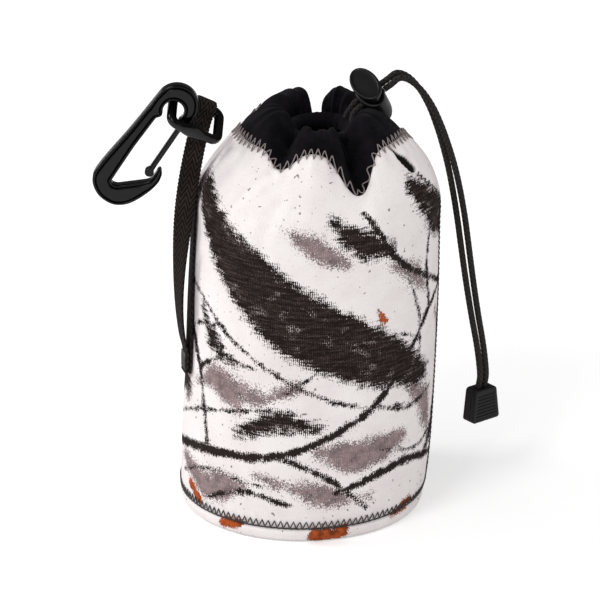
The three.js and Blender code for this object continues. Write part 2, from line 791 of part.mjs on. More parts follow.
// A point on the wall's outer face, with the way out and the way round there
function wallPlace(angle, z) {
  const outline = clothCurve(angle)
  let low = 0
  let high = seamShare
  const halvings = 30
  for (let i = 0; i < halvings; i++) {
    const middle = (low + high) / 2
    if (outline.getPoint(middle).z < z) low = middle
    else high = middle
  }
  const radius = outline.getPoint(low).x
  const out = new THREE.Vector3(Math.cos(angle), Math.sin(angle), 0)
  const point = new THREE.Vector3(lean(z), 0, z).addScaledVector(out, radius)
  return { point, out, round: new THREE.Vector3(-out.y, out.x, 0) }
}

const innerLayer = seatGap + webbingThickness / 2
const outerLayer = innerLayer + seatGap + webbingThickness
const foldRadius = 1.35 * (ringBar / 2) + seatGap + webbingThickness / 2
const foldCentre = ringPivot.clone()
  .addScaledVector(ringReach, foldPlace)
  .addScaledVector(ringAcross, ringBarSpacing / 2)

const outerBulge = new THREE.Vector3(-8.5, -4, 34)
const innerContactRise = 12
const innerContactHeight = shoulderHeight + innerContactRise
const innerContactAngle = THREE.MathUtils.degToRad(188)
const foldPull = 13
const foldDrift = 0.12
const innerPull = 14

// The webbing's path: up outside, over the ring's rear bar and down against the wall
function webbingFrames() {
  const frames = []
  const add = (point, width) => frames.push({ point, width })
  const foot = wallPlace(anchorAngle, anchorHeight - sewnLength)
  const leave = wallPlace(anchorAngle, anchorHeight)
  const start = leave.point.clone().addScaledVector(leave.out, outerLayer)
  add(foot.point.clone().addScaledVector(foot.out, outerLayer), leave.round)
  const foldPlaceAt = (angle) => foldCentre.clone()
    .addScaledVector(ringAcross, -foldRadius * Math.cos(angle))
    .addScaledVector(ringUp, foldRadius * Math.sin(angle))
  const foldFront = foldPlaceAt(foldShort)
  const leaving = ringReach.clone().multiplyScalar(foldDrift)
    .addScaledVector(ringAcross, -Math.sin(foldShort)).addScaledVector(ringUp, -Math.cos(foldShort))
  const foldRear = foldCentre.clone().addScaledVector(ringAcross, foldRadius)
  const outside = new THREE.CubicBezierCurve3(
    start, start.clone().add(outerBulge), foldFront.clone().addScaledVector(leaving, foldPull), foldFront,
  )
  const outsideSteps = 16
  for (let i = 0; i < outsideSteps; i++) {
    const t = i / outsideSteps
    add(outside.getPoint(t), leave.round.clone().lerp(ringReach, THREE.MathUtils.smoothstep(t, 0, 0.9)))
  }
  const foldSteps = 8
  for (let i = 0; i <= foldSteps; i++) {
    add(foldPlaceAt(foldShort + ((Math.PI - foldShort) * i) / foldSteps), ringReach.clone())
  }
  const contact = wallPlace(innerContactAngle, innerContactHeight)
  const touch = contact.point.clone().addScaledVector(contact.out, innerLayer)
  const inside = new THREE.CubicBezierCurve3(
    foldRear, foldRear.clone().addScaledVector(ringUp, -foldPull / 2), touch.clone().addScaledVector(up, innerPull), touch,
  )
  const insideSteps = 10
  for (let i = 1; i < insideSteps; i++) {
    const t = i / insideSteps
    add(inside.getPoint(t), ringReach.clone().lerp(contact.round, THREE.MathUtils.smoothstep(t, 0.1, 1)))
  }
  const wallSteps = 8
  for (let i = 0; i <= wallSteps; i++) {
    const share = i / wallSteps
    const angle = innerContactAngle + (anchorAngle - innerContactAngle) * Math.min(1, share * 1.2)
    const z = innerContactHeight + (anchorHeight - sewnLength - innerContactHeight) * share
    const place = wallPlace(angle, z)
    add(place.point.clone().addScaledVector(place.out, innerLayer), place.round)
  }
  return frames
}

function hangerWebbing() {
  const frames = webbingFrames()
  const sections = frames.map(({ point, width }, i) => {
    const before = frames[Math.max(0, i - 1)].point
    const after = frames[Math.min(frames.length - 1, i + 1)].point
    const tangent = after.clone().sub(before).normalize()
    const across = width.clone().addScaledVector(tangent, -width.dot(tangent)).normalize()
    const face = new THREE.Vector3().crossVectors(tangent, across)
    return [[-1, -1], [1, -1], [1, 1], [-1, 1]].map(([x, y]) => point.clone()
      .addScaledVector(across, (x * webbingWidth) / 2)
      .addScaledVector(face, (y * webbingThickness) / 2))
  })
  return stripGeometry(sections)
}

function barTack() {
  const { point, out, round } = wallPlace(anchorAngle, anchorHeight - sewnLength / 2)
  const tack = new THREE.BoxGeometry(webbingWidth * 0.8, tackDepth, sewnLength * 0.6)
  const seat = outerLayer + webbingThickness / 2 + seatGap + tackDepth / 2
  const frame = new THREE.Matrix4().makeBasis(round, out.clone().negate(), up)
  return tack.applyMatrix4(frame.setPosition(point.clone().addScaledVector(out, seat)))
}

// Materials, one for each mesh
function material(color, roughness, metalness = 0) {
  return new THREE.MeshStandardMaterial({ color, roughness, metalness })
}
const snowCloth = [0xe9e2df, 0.9]
const blackKnit = [0x17151a, 0.95]
const blackCord = [0x1b1918, 0.85]
const blackWebbing = [0x231e1b, 0.85]
const blackPlastic = [0x1c1c1d, 0.4]
const satinPlastic = [0x2c2c2d, 0.55]

const pouch = new THREE.Group()

function addPiece(name, geometry, look) {
  const mesh = new THREE.Mesh(geometry, material(...look))
  mesh.name = name
  pouch.add(mesh)
}

function basePlaced() {
  return basePanel().rotateX(Math.PI / 2)
}

addPiece('base_panel', basePlaced(), snowCloth)
addPiece('wall_panel', wallPanel(), snowCloth)
addPiece('collar', collar(), blackKnit)
addPiece('drawcord_loop', drawcordLoop(), blackCord)
addPiece('drawcord_tail_rear', drawcordTail(-1), blackCord)
addPiece('drawcord_tail_front', drawcordTail(1), blackCord)
addPiece('cord_lock_barrel', lockBarrel(), satinPlastic)
addPiece('cord_lock_plunger', lockPlunger(), satinPlastic)
addPiece('cord_lock_spring', lockSpring(), [0xb8b8b8, 0.35, 1])
addPiece('cord_end_shell', cordEndShell(), satinPlastic)
addPiece('cord_end_cover', cordEndCover(), satinPlastic)
addPiece('cord_knot', cordKnot(), blackCord)
addPiece('hanger_webbing', hangerWebbing(), blackWebbing)
addPiece('hanger_bar_tack', barTack(), blackWebbing)
addPiece('webbing_ring', webbingRing(), blackPlastic)
addPiece('snap_hook_body', hookBody(), blackPlastic)
addPiece('snap_hook_gate', hookGate(), blackPlastic)
addPiece('snap_hook_gate_pin', gatePin(), blackPlastic)

export default pouch
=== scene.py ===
import math

import bmesh
import bpy
import numpy as np
from mathutils import Matrix, Vector, noise


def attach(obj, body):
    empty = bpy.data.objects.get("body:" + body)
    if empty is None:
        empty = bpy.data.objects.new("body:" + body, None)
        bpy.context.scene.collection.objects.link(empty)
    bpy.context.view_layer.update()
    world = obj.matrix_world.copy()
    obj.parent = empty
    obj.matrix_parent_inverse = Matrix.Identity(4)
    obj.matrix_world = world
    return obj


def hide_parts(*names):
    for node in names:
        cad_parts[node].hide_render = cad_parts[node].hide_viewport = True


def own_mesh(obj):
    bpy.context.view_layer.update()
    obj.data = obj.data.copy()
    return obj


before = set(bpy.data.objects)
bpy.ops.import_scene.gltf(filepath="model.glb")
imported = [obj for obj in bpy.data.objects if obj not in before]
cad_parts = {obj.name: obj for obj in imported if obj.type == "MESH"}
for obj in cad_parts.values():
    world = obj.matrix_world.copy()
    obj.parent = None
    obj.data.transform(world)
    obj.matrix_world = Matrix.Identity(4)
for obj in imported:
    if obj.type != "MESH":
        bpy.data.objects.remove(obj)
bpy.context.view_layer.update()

MM = 0.001
TAU = 2 * math.pi
UP = Vector((0, 0, 1))

# Sizes of the pouch, in millimetres, as the solids have them
WALL_RADIUS = 57
NEOPRENE = 3.5
KNIT = 2
BASE_HEIGHT = 6.5
BASE_RIM = 55.5
SHOULDER_HEIGHT = 138
SHOULDER_RADIUS = 55.5
POUCH_HEIGHT = 191
HEM_HEIGHT = 178
MOUTH_RADIUS = 14.5
LEAN_AT_TOP = 9
SEAT_GAP = 0.3
CORD = 3
CORD_SPACING = 3.5
LOCK_LONG = 19.5
LOCK_SHORT = 12
LOCK_HEIGHT = 22
LOCK_SLOT_HEIGHT = 11.5


def placed_object(name, data):
    piece = bpy.data.objects.new(name, data)
    bpy.context.scene.collection.objects.link(piece)
    return piece


def camera():
    """The photograph's viewpoint: level with the left and right, 22 degrees above."""
    pitch = math.radians(22)
    distance = 2.6
    width = 0.2727
    middle, height = -0.0009, 0.0961
    data = bpy.data.cameras.new("camera")
    data.sensor_width = 36
    data.lens = data.sensor_width * distance / width
    data.clip_end = 20
    eye = placed_object("camera", data)
    eye.location = Vector((middle, -math.cos(pitch) * distance, height + math.sin(pitch) * distance))
    eye.rotation_euler = (math.pi / 2 - pitch, 0, 0)
    bpy.context.scene.camera = eye


camera()


# Curves

def catmull(points, count):
    """Points of the centripetal curve through the given ones, evenly in its parameter."""
    points = np.asarray(points, float)
    ends = np.vstack([2 * points[0] - points[1], points, 2 * points[-1] - points[-2]])
    steps = np.linspace(0, len(points) - 1, count)
    place = np.minimum(steps.astype(int), len(points) - 2)
    return catmull_at(ends, place, steps - place)


def catmull_at(ends, place, weight, paired=False):
    """The curve at a weight past each place; ends holds the points and one more at each end."""
    p0, p1, p2, p3 = (ends[i] if paired else ends[place + i] for i in range(4))

    def knot(a, b):
        return np.maximum(np.sum((a - b) ** 2, axis=-1, keepdims=True) ** 0.25, 1e-4)

    d0, d1, d2 = knot(p0, p1), knot(p1, p2), knot(p2, p3)
    t1 = ((p1 - p0) / d0 - (p2 - p0) / (d0 + d1) + (p2 - p1) / d1) * d1
    t2 = ((p2 - p1) / d1 - (p3 - p1) / (d1 + d2) + (p3 - p2) / d2) * d1
    w = weight[:, None]
    return p1 + t1 * w + (3 * p2 - 3 * p1 - 2 * t1 - t2) * w**2 + (2 * p1 - 2 * p2 + t1 + t2) * w**3


def run_along(points):
    """The distance from a path's start at each of its points."""
    return np.concatenate([[0], np.cumsum(np.linalg.norm(np.diff(points, axis=0), axis=1))])


def sampled(points, run, at):
    """Points of a path at given places along it."""
    return np.stack([np.interp(at, run, column) for column in points.T], axis=1)


def even(points, step):
    """The same path with its points a set distance apart."""
    points = np.asarray(points, float)
    run = run_along(points)
    count = max(2, int(round(run[-1] / step)) + 1)
    return sampled(points, run, np.linspace(0, run[-1], count))


def unit(vectors):
    """The same directions, each one long."""
    return vectors / np.maximum(np.linalg.norm(vectors, axis=-1, keepdims=True), 1e-12)


def smoothstep(x, low, high):
    t = np.clip((np.asarray(x, float) - low) / (high - low), 0, 1)
    return t * t * (3 - 2 * t)


def bell(away, width):
    """1 in the middle, falling softly to 0 beyond a width."""
    return np.exp(-((away / width) ** 2))


def round_angles(count):
    return np.arange(count) * TAU / count


# The cord lock's directions: its axis, its long side and the way the cord runs through it
LOCK_FACE = Vector((28.1, 0.5, 200.6))
LOCK_AXIS = Vector((-0.272, -0.6, 0.754)).normalized()
LOCK_LONG_SIDE = Vector((0.523, -0.749, -0.407))
LOCK_LONG_SIDE = (LOCK_LONG_SIDE - LOCK_AXIS * LOCK_LONG_SIDE.dot(LOCK_AXIS)).normalized()
LOCK_THROUGH = LOCK_AXIS.cross(LOCK_LONG_SIDE)
LOCK_FOOT = LOCK_FACE - LOCK_AXIS * LOCK_HEIGHT


def strand_point(side, out):
    """A point on one of the two strands in the lock's slot, so far out of the lock's middle."""
    return (
        LOCK_FOOT
        + LOCK_AXIS * LOCK_SLOT_HEIGHT
        + LOCK_LONG_SIDE * (side * CORD_SPACING / 2)
        + LOCK_THROUGH * out
    )


def lean(z):
    """How far the pouch's middle leans to the right at a height."""
    share = np.clip((np.asarray(z, float) - BASE_HEIGHT) / (POUCH_HEIGHT - BASE_HEIGHT), 0, 1)
    return LEAN_AT_TOP * share**0.75


def ring_point(degrees, lift):
    """A point on the cord's round inside the hem, lifted by some millimetres."""
    angle = math.radians(degrees)
    return Vector((
        float(lean(HEM_HEIGHT)) + MOUTH_RADIUS * math.cos(angle),
        MOUTH_RADIUS * math.sin(angle),
        HEM_HEIGHT + lift,
    ))


def loop_route():
    """The held part of the cord: through the lock, down to the hem, round the mouth and back."""
    face = LOCK_SHORT / 2
    beyond = face + CORD / 2
    lift_at_lock = 6.5
    points = [strand_point(-1, x) for x in (face, 0, -face, -beyond)]
    points.append(ring_point(31, lift_at_lock))
    points += [ring_point(degrees, 0) for degrees in range(48, 353, 16)]
    points.append(ring_point(370, lift_at_lock))
    return points + [strand_point(1, x) for x in (-beyond, -face, 0, face)]


TAIL_ROUTE = [
    (47.6, 13.2, 198.6), (53, 14, 193.2), (57.8, 14, 185.4), (61.6, 13.6, 176.4), (64.9, 13.2, 166.4),
    (67.8, 12.7, 155.6), (70.2, 12.1, 144), (72.2, 11.6, 132), (73.9, 11.1, 119.6), (75.6, 10.6, 107),
    (77.4, 10.2, 94.6), (79.3, 9.8, 82.8), (81.2, 9.4, 72), (82.5, 9.1, 62.4), (83, 9, 55),
]
TAIL_STRAIGHT = 9
CORD_END_TURN = math.radians(39)
CORD_END_ACROSS = Vector((math.cos(CORD_END_TURN), math.sin(CORD_END_TURN), 0))
CORD_END_FRONT = Vector((math.sin(CORD_END_TURN), -math.cos(CORD_END_TURN), 0))
CORD_END_TOP = Vector((83, 9, 49.5))
CORD_END_HEIGHT = 16
CORD_END_NOTCH = 2.6
CORD_END_SHELL = 4.9
CORD_END_COVER = 2.8
CORD_END_MIDDLE = (CORD_END_SHELL - CORD_END_COVER) / 2


def tail_route(side):
    """One free end of the cord, from the lock's far face down into the cord end."""
    entry = CORD_END_TOP - CORD_END_FRONT * CORD_END_MIDDLE
    centre = [strand_point(0, LOCK_SHORT / 2 + x) for x in (SEAT_GAP, TAIL_STRAIGHT / 2, TAIL_STRAIGHT)]
    centre += [Vector(p) for p in TAIL_ROUTE]
    centre += [entry, entry - UP * CORD_END_NOTCH]
    points = []
    for i, point in enumerate(centre):
        share = float(smoothstep(i, 2, len(centre) - 2))
        along = (centre[min(i + 1, len(centre) - 1)] - centre[max(i - 1, 0)]).normalized()
        across = LOCK_LONG_SIDE.lerp(CORD_END_ACROSS, share)
        across = (across - along * across.dot(along)).normalized()
        points.append(point + across * (side * CORD_SPACING / 2))
    return points


# Meshes

def to_mesh(name, made):
    """Turns a body modelled in millimetres into a mesh in metres."""
    bmesh.ops.recalc_face_normals(made, faces=made.faces)
    bmesh.ops.scale(made, vec=(MM, MM, MM), verts=made.verts)
    for face in made.faces:
        face.smooth = True
    mesh = bpy.data.meshes.new(name)
    made.to_mesh(mesh)
    made.free()
    return mesh


def rigid_piece(name, made, body):
    """A new piece from a body modelled in millimetres, riding on a body of the model."""
    piece = placed_object(name, to_mesh(name, made))
    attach(piece, body)
    return piece


def mesh_object(name, vertices, faces, body):
    """A new piece from points in millimetres."""
    mesh = bpy.data.meshes.new(name)
    mesh.from_pydata(np.asarray(vertices, float).tolist(), [], faces)
    made = bmesh.new()
    made.from_mesh(mesh)
    bpy.data.meshes.remove(mesh)
    return rigid_piece(name, made, body)


def stands_for(piece, node):
    """Puts a piece in the place of a solid."""
    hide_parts(node)
    return piece


def ring_faces(rows, columns, close_rows=True):
    """Faces between rings of points; the last ring meets the first, or both are closed by a face."""
    faces = []
    for i in range(rows if close_rows else rows - 1):
        a, b = i * columns, ((i + 1) % rows) * columns
        for j in range(columns):
            k = (j + 1) % columns
            faces.append((a + j, b + j, b + k, a + k))
    if not close_rows:
        faces.append(tuple(range(columns)))
        faces.append(tuple((rows - 1) * columns + i for i in reversed(range(columns))))
    return faces


def tube_mesh(path, radius, sides):
    """Points and faces of a closed tube along a path."""
    path = np.asarray(path, float)
    tangents = unit(np.gradient(path, axis=0))
    side = unit(np.cross(tangents[0], [0, 0, 1]))
    frames = []
    for tangent in tangents:
        side = unit(side - tangent * side.dot(tangent))
        frames.append((side, np.cross(tangent, side)))
    across, upward = (np.array(x) for x in zip(*frames))
    angles = round_angles(sides)
    radius = np.broadcast_to(np.asarray(radius, float), (len(path), sides))
    points = (
        path[:, None]
        + across[:, None] * (np.cos(angles)[None, :, None] * radius[..., None])
        + upward[:, None] * (np.sin(angles)[None, :, None] * radius[..., None])
    )
    return points.reshape(-1, 3), ring_faces(len(path), sides, close_rows=False)


def point_attribute(piece, name, values, kind="FLOAT"):
    """Stores one value, or one vector, at each point of a piece."""
    layer = piece.data.attributes.new(name, kind, "POINT")
    values = np.asarray(values, float)
    layer.data.foreach_set("value" if kind == "FLOAT" else "vector", values.ravel())


# The gathered cloth, on the same outline as the solids

CREASES = [(-54, -24, 12, 1.25), (24, 0, 21, 1), (95, 0, 10, 1), (160, 0, 11, 1), (228, 28, 10, 0.5)]
FRONT_FOLD = (-93, 26)
CREASE_DRIFT_SHARE = 0.75
WALL_RISE_SHARES = [(0.974, 0), (0.99, 0.05), (1, 0.18), (1, 0.42), (0.992, 0.72), (0.974, 1)]
CREST_SHOULDER_SHARES = [(0.995, 0.19), (0.922, 0.396), (0.768, 0.604), (0.561, 0.792)]
VALLEY_SHOULDER_SHARES = [(0.976, 0.19), (0.902, 0.34), (0.805, 0.453), (0.695, 0.538)]
CREST_COLLAR_SHARES = [(0.415, 0.915), (0.256, 0.985), (0.122, 0.975), (0.058, 0.89)]
VALLEY_COLLAR_SHARES = [(0.5, 0.553), (0.33, 0.59), (0.183, 0.65), (0.08, 0.7)]
FRONT_SHOULDER_SHARES = [(0.995, 0.19), (0.922, 0.396), (0.73, 0.62), (0.47, 0.79)]
FRONT_COLLAR_SHARES = [(0.36, 0.845), (0.24, 0.885), (0.125, 0.88), (0.058, 0.845)]
SEAM_RISE_SHARE = 0.6
SEAM_INDEX = 9
OUTLINE_STEPS = 14
SEAM_SHARE = SEAM_INDEX / OUTLINE_STEPS
WALL_BOTTOM = BASE_HEIGHT + SEAT_GAP
CHANNEL_RADIUS = CORD / 2 + 2 * SEAT_GAP
CLOTH_ROUND = TAU * WALL_RADIUS


def degrees_from(angles, middle):
    """Degrees round from a middle, the shorter way."""
    away = np.degrees(angles) - middle
    return away - 360 * np.round(away / 360)


def crest_share(angles, rise):
    """1 on the crest of a fold, 0 in the bottom of a crease."""
    share = np.ones_like(angles)
    for hem, drift, width, depth in CREASES:
        away = degrees_from(angles, hem + drift * np.minimum(1, (1 - rise) / CREASE_DRIFT_SHARE))
        depth = 1 + (depth - 1) * np.minimum(1, (1 - rise) / (1 - SEAM_RISE_SHARE))
        share *= 1 - depth * bell(away, width)
    return share


def hem_arrival(angles):
    """Where round the hem's channel the cloth arrives, deeper in a crease."""
    return -(math.pi / 2) * (1 - crest_share(angles, 1))


def control_outlines(angles):
    """Control points of the cloth's outline at each angle: radius and height."""
    rows = [
        np.stack([np.full_like(angles, WALL_RADIUS * r),
                  np.full_like(angles, WALL_BOTTOM + z * (SHOULDER_HEIGHT - WALL_BOTTOM))], axis=1)
        for r, z in WALL_RISE_SHARES
    ]

    def gathered(share):
        return np.array([
            MOUTH_RADIUS + share[0] * (SHOULDER_RADIUS - MOUTH_RADIUS),
            SHOULDER_HEIGHT + share[1] * (POUCH_HEIGHT - SHOULDER_HEIGHT),
        ])

    forward = bell(degrees_from(angles, FRONT_FOLD[0]), FRONT_FOLD[1])[:, None]

    def folds(crest, front, valley, low, high):
        for i, (top, nearer, bottom) in enumerate(zip(crest, front, valley)):
            weight = crest_share(angles, low + (high - low) * (i + 1) / len(crest))[:, None]
            upper = gathered(top) * (1 - forward) + gathered(nearer) * forward
            rows.append(gathered(bottom) * (1 - weight) + upper * weight)

    folds(CREST_SHOULDER_SHARES, FRONT_SHOULDER_SHARES, VALLEY_SHOULDER_SHARES, 0, SEAM_RISE_SHARE)
    folds(CREST_COLLAR_SHARES, FRONT_COLLAR_SHARES, VALLEY_COLLAR_SHARES, SEAM_RISE_SHARE, 1)
    arrival = hem_arrival(angles)
    rows.append(np.stack([
        MOUTH_RADIUS + CHANNEL_RADIUS * np.cos(arrival),
        HEM_HEIGHT + CHANNEL_RADIUS * np.sin(arrival),
    ], axis=1))
    return np.stack(rows)


def outline_at(angles, shares):
    """Radius and height on the outer face for pairs of angle and share of the outline."""
    angles, shares = np.broadcast_arrays(np.asarray(angles, float), np.asarray(shares, float))
    flat_angles, flat_shares = angles.ravel(), shares.ravel()
    control = control_outlines(flat_angles)
    ends = np.concatenate([[2 * control[0] - control[1]], control, [2 * control[-1] - control[-2]]])
    steps = flat_shares * OUTLINE_STEPS
    place = np.clip(steps.astype(int), 0, OUTLINE_STEPS - 1)
    picked = ends[place[None] + np.arange(4)[:, None], np.arange(len(place))[None]]
    found = catmull_at(picked, np.zeros(len(place), int), steps - place, paired=True)
    return found.reshape(angles.shape + (2,))


def inward_at(angles, shares, nudge=1e-4):
    """The way in from the outer face, in the upright plane through the axis."""
    shares = np.asarray(shares, float)
    low, high = np.maximum(shares - nudge, 0), np.minimum(shares + nudge, 1)
    along = unit(outline_at(angles, high) - outline_at(angles, low))
    return np.stack([-along[..., 1], along[..., 0]], axis=-1)


def place_round(flat, angles):
    """Turns radii and heights into points, with the pouch's lean."""
    r, z = flat[..., 0], flat[..., 1]
    return np.stack([lean(z) + r * np.cos(angles), r * np.sin(angles), z], axis=-1)


def seeded_noise(points, seed):
    offset = Vector((seed * 17.3, seed * 5.1, seed * 9.7))
    return np.array([
        noise.fractal(Vector(p) + offset, 1.0, 2.0, 2, noise_basis="PERLIN_ORIGINAL")
        for p in points.reshape(-1, 3)
    ]).reshape(points.shape[:-1])


def skin_at(angles, shares):
    """Points on the cloth's outer face."""
    return place_round(outline_at(angles, shares), angles)


def outward_at(angles, shares, nudge=1e-3):
    """The outward normal of the cloth's outer face."""
    shares = np.asarray(shares, float)
    low, high = np.maximum(shares - nudge, 0), np.minimum(shares + nudge, 1)
    up_way = skin_at(angles, high) - skin_at(angles, low)
    round_way = skin_at(angles + nudge, shares) - skin_at(angles - nudge, shares)
    return unit(np.cross(round_way, up_way))


def even_shares(first, last, step):
    """Shares of the outline whose points lie about a set distance apart, and their distance up the front."""
    fine = np.linspace(first, last, 2000)
    run = run_along(outline_at(np.full_like(fine, -math.pi / 2), fine))
    rise = np.linspace(0, run[-1], int(round(run[-1] / step)) + 1)
    return np.interp(rise, run, fine), rise


def cloth_place(angles, rise):
    """Where a point of the cloth lies on the flat cut: millimetres round from the front, and up."""
    around = np.mod(angles + math.pi / 2 + math.pi, TAU) - math.pi
    return around * WALL_RADIUS, rise


def read_whole(items, name):
    """One whole number of every item of a mesh."""
    found = np.zeros(len(items), np.int32)
    items.foreach_get(name, found)
    return found


def set_cloth_uv(piece, around, rise):
    """Flat-cut millimetres as the piece's own map, without a jump across the wrap."""
    layer = piece.data.uv_layers.new(name="cloth")
    loops = read_whole(piece.data.loops, "vertex_index")
    u, v = np.asarray(around).ravel()[loops], np.asarray(rise).ravel()[loops]
    starts = read_whole(piece.data.polygons, "loop_start")
    sizes = read_whole(piece.data.polygons, "loop_total")
    order = np.argsort(starts)
    first = np.repeat(u[starts[order]], sizes[order])
    u = u - CLOTH_ROUND * np.round((u - first) / CLOTH_ROUND)
    layer.data.foreach_set("uv", np.stack([u * MM, v * MM], axis=1).ravel())


# The wall of the pouch

WALL_COLUMNS = 288
WALL_STEP = 1.15
INSIDE_STEPS = 4
SIDE_SEAM_DEGREES = -8
SIDE_SEAM_DRIFTS = [(19, 137, 163), (10, 158, 182)]
SLIT = (161, 181)
SLIT_HALF_WIDTH = 3.5
SLIT_DEPTH = 2.2
PUCKER_PITCH = 6.1
PULL_PITCH = 9.7


def side_seam_turn(rise):
    """Angle of the side seam: straight up the wall, then drawn forward by the gathers."""
    drawn = sum(degrees * smoothstep(rise, low, high) for degrees, low, high in SIDE_SEAM_DRIFTS)
    return np.radians(SIDE_SEAM_DEGREES - drawn)


def side_seam_away(angles, rise):
    """Millimetres round from the side seam."""
    turn = np.mod(angles - side_seam_turn(rise) + math.pi, TAU) - math.pi
    return turn * WALL_RADIUS


def wall_swell(angles, rise, top):
    """How far the cloth stands off its outline: soft dents, rounded seam edges and puckers."""
    points = np.stack([np.cos(angles) * 2, np.sin(angles) * 2, rise / 29], axis=-1)
    soft = seeded_noise(points, 3) * (0.35 + 0.5 * smoothstep(rise, 110, 150))
    edge_top = np.exp(-((top - rise) / 1.3)) * 0.8
    edge_bottom = np.exp(-(rise / 1.2)) * 0.7
    around = angles * WALL_RADIUS
    pucker = np.sin(around * TAU / PUCKER_PITCH) * 0.16 * bell(rise - 5, 4)
    pull = np.sin(around * TAU / PULL_PITCH + 1) * 0.22 * bell(top - rise - 5, 5)
    seam = 0.55 * bell(side_seam_away(angles, rise), 1.1) * (1 - smoothstep(rise, 158, 163))
    swell = soft - edge_top - edge_bottom + pucker + pull - seam
    return swell - slit_depth(angles, rise) + drawn_folds(angles, rise)


DRAWN_FOLDS = [
    ([(-30, 172), (-44, 152), (-62, 128), (-74, 100)], 0.75, 2.2),
    ([(-20, 160), (-26, 136), (-22, 112)], 0.4, 2.6),
    ([(22, 158), (25, 138), (34, 116)], 0.65, 2.4),
    ([(64, 168), (60, 150), (66, 130)], 0.35, 2.4),
    ([(-84, 168), (-88, 146), (-80, 120)], 0.45, 2.6),
    ([(118, 172), (122, 148), (116, 122)], 0.6, 2.6),
    ([(172, 170), (166, 144), (170, 120)], 0.6, 2.6),
    ([(-128, 172), (-132, 148), (-124, 126)], 0.5, 2.6),
]


def drawn_folds(angles, rise):
    """Shallow folds that run down the cloth from the gathers, each with a soft ridge beside it."""
    around, rise = cloth_place(angles, rise)
    lift = np.zeros(around.shape)
    for points, depth, width in DRAWN_FOLDS:
        away = stroke(around, rise, points, (0, 0))
        fade = smoothstep(rise, points[-1][1] - 4, points[-1][1] + 30)
        lift -= depth * fade * bell(away, width)
        lift += 0.55 * depth * fade * bell(away - 2.1 * width, width)
    return lift


def slit_away(angles, rise):
    """Distance, negative inside, from the open end of the side seam, widest near its foot."""
    low, high = SLIT
    t = np.clip((rise - low) / (high - low), 0, 1)
    half = SLIT_HALF_WIDTH * np.sqrt(np.clip(t / 0.12, 0, 1)) * (1 - 0.75 * smoothstep(t, 0.3, 1))
    shoulder_radius = 44
    across = np.abs(side_seam_away(angles, rise)) * shoulder_radius / WALL_RADIUS
    return np.maximum(across - half, low - rise)


def slit_depth(angles, rise):
    return SLIT_DEPTH * (1 - smoothstep(slit_away(angles, rise), -1.4, 0.3))


def wall_panel():
    """The tube of cloth: a swelling outer face over a plain inner one, closed at both edges."""
    shares, rise = even_shares(0, SEAM_SHARE, WALL_STEP)
    angles = round_angles(WALL_COLUMNS)
    grid_shares, grid_angles = np.meshgrid(shares, angles, indexing="ij")
    grid_rise = np.repeat(rise[:, None], WALL_COLUMNS, axis=1)
    swell = wall_swell(grid_angles, grid_rise, rise[-1])
    outer = skin_at(grid_angles, grid_shares) + outward_at(grid_angles, grid_shares) * swell[..., None]
    few = shares[::INSIDE_STEPS]
    if few[-1] != shares[-1]:
        few = np.append(few, shares[-1])
    inner_shares, inner_angles = np.meshgrid(few, angles, indexing="ij")
    flat = outline_at(inner_angles, inner_shares) + inward_at(inner_angles, inner_shares) * NEOPRENE
    flat[0, :, 1] = WALL_BOTTOM
    rows = np.concatenate([outer, place_round(flat, inner_angles)[::-1]])
    inner_rise = np.interp(few, shares, rise)
    rises = np.concatenate([grid_rise, np.repeat(inner_rise[::-1, None], WALL_COLUMNS, axis=1)])
    turns = np.broadcast_to(angles, rises.shape)
    piece = mesh_object("wall_cloth", rows.reshape(-1, 3), ring_faces(len(rows), WALL_COLUMNS), "pouch")
    around, up_run = cloth_place(turns, rises)
    set_cloth_uv(piece, around, up_run)
    lining = np.zeros(rises.shape)
    lining[len(outer):] = 1
    point_attribute(piece, "lining", lining)
    # Distance from the side seam's open end, which the material paints as shade.
    point_attribute(piece, "slit", slit_away(turns, rises))
    paint_print(piece, around, up_run)
    return stands_for(piece, "wall_panel")


# The print: broad dry-brushed bands, bent twigs, smudges and leaf spots, drawn as distances

FAR_OFF = 30.0


def stroke(around, rise, points, widths):
    """Distance from a bent stroke with a changing half width, in millimetres, negative inside."""
    path = catmull(np.array([(u, v, 0) for u, v in points]), 28)[:, :2]
    half = np.interp(np.linspace(0, 1, len(path)), np.linspace(0, 1, len(widths)), widths)
    best = np.full(around.shape, 1e3)
    for shift in (-CLOTH_ROUND, 0, CLOTH_ROUND):
        for a, b, ha, hb in zip(path[:-1], path[1:], half[:-1], half[1:]):
            line = b - a
            du, dv = around + shift - a[0], rise - a[1]
            t = np.clip((du * line[0] + dv * line[1]) / line.dot(line), 0, 1)
            away = np.hypot(du - t * line[0], dv - t * line[1]) - (ha + (hb - ha) * t)
            best = np.minimum(best, away)
    return best


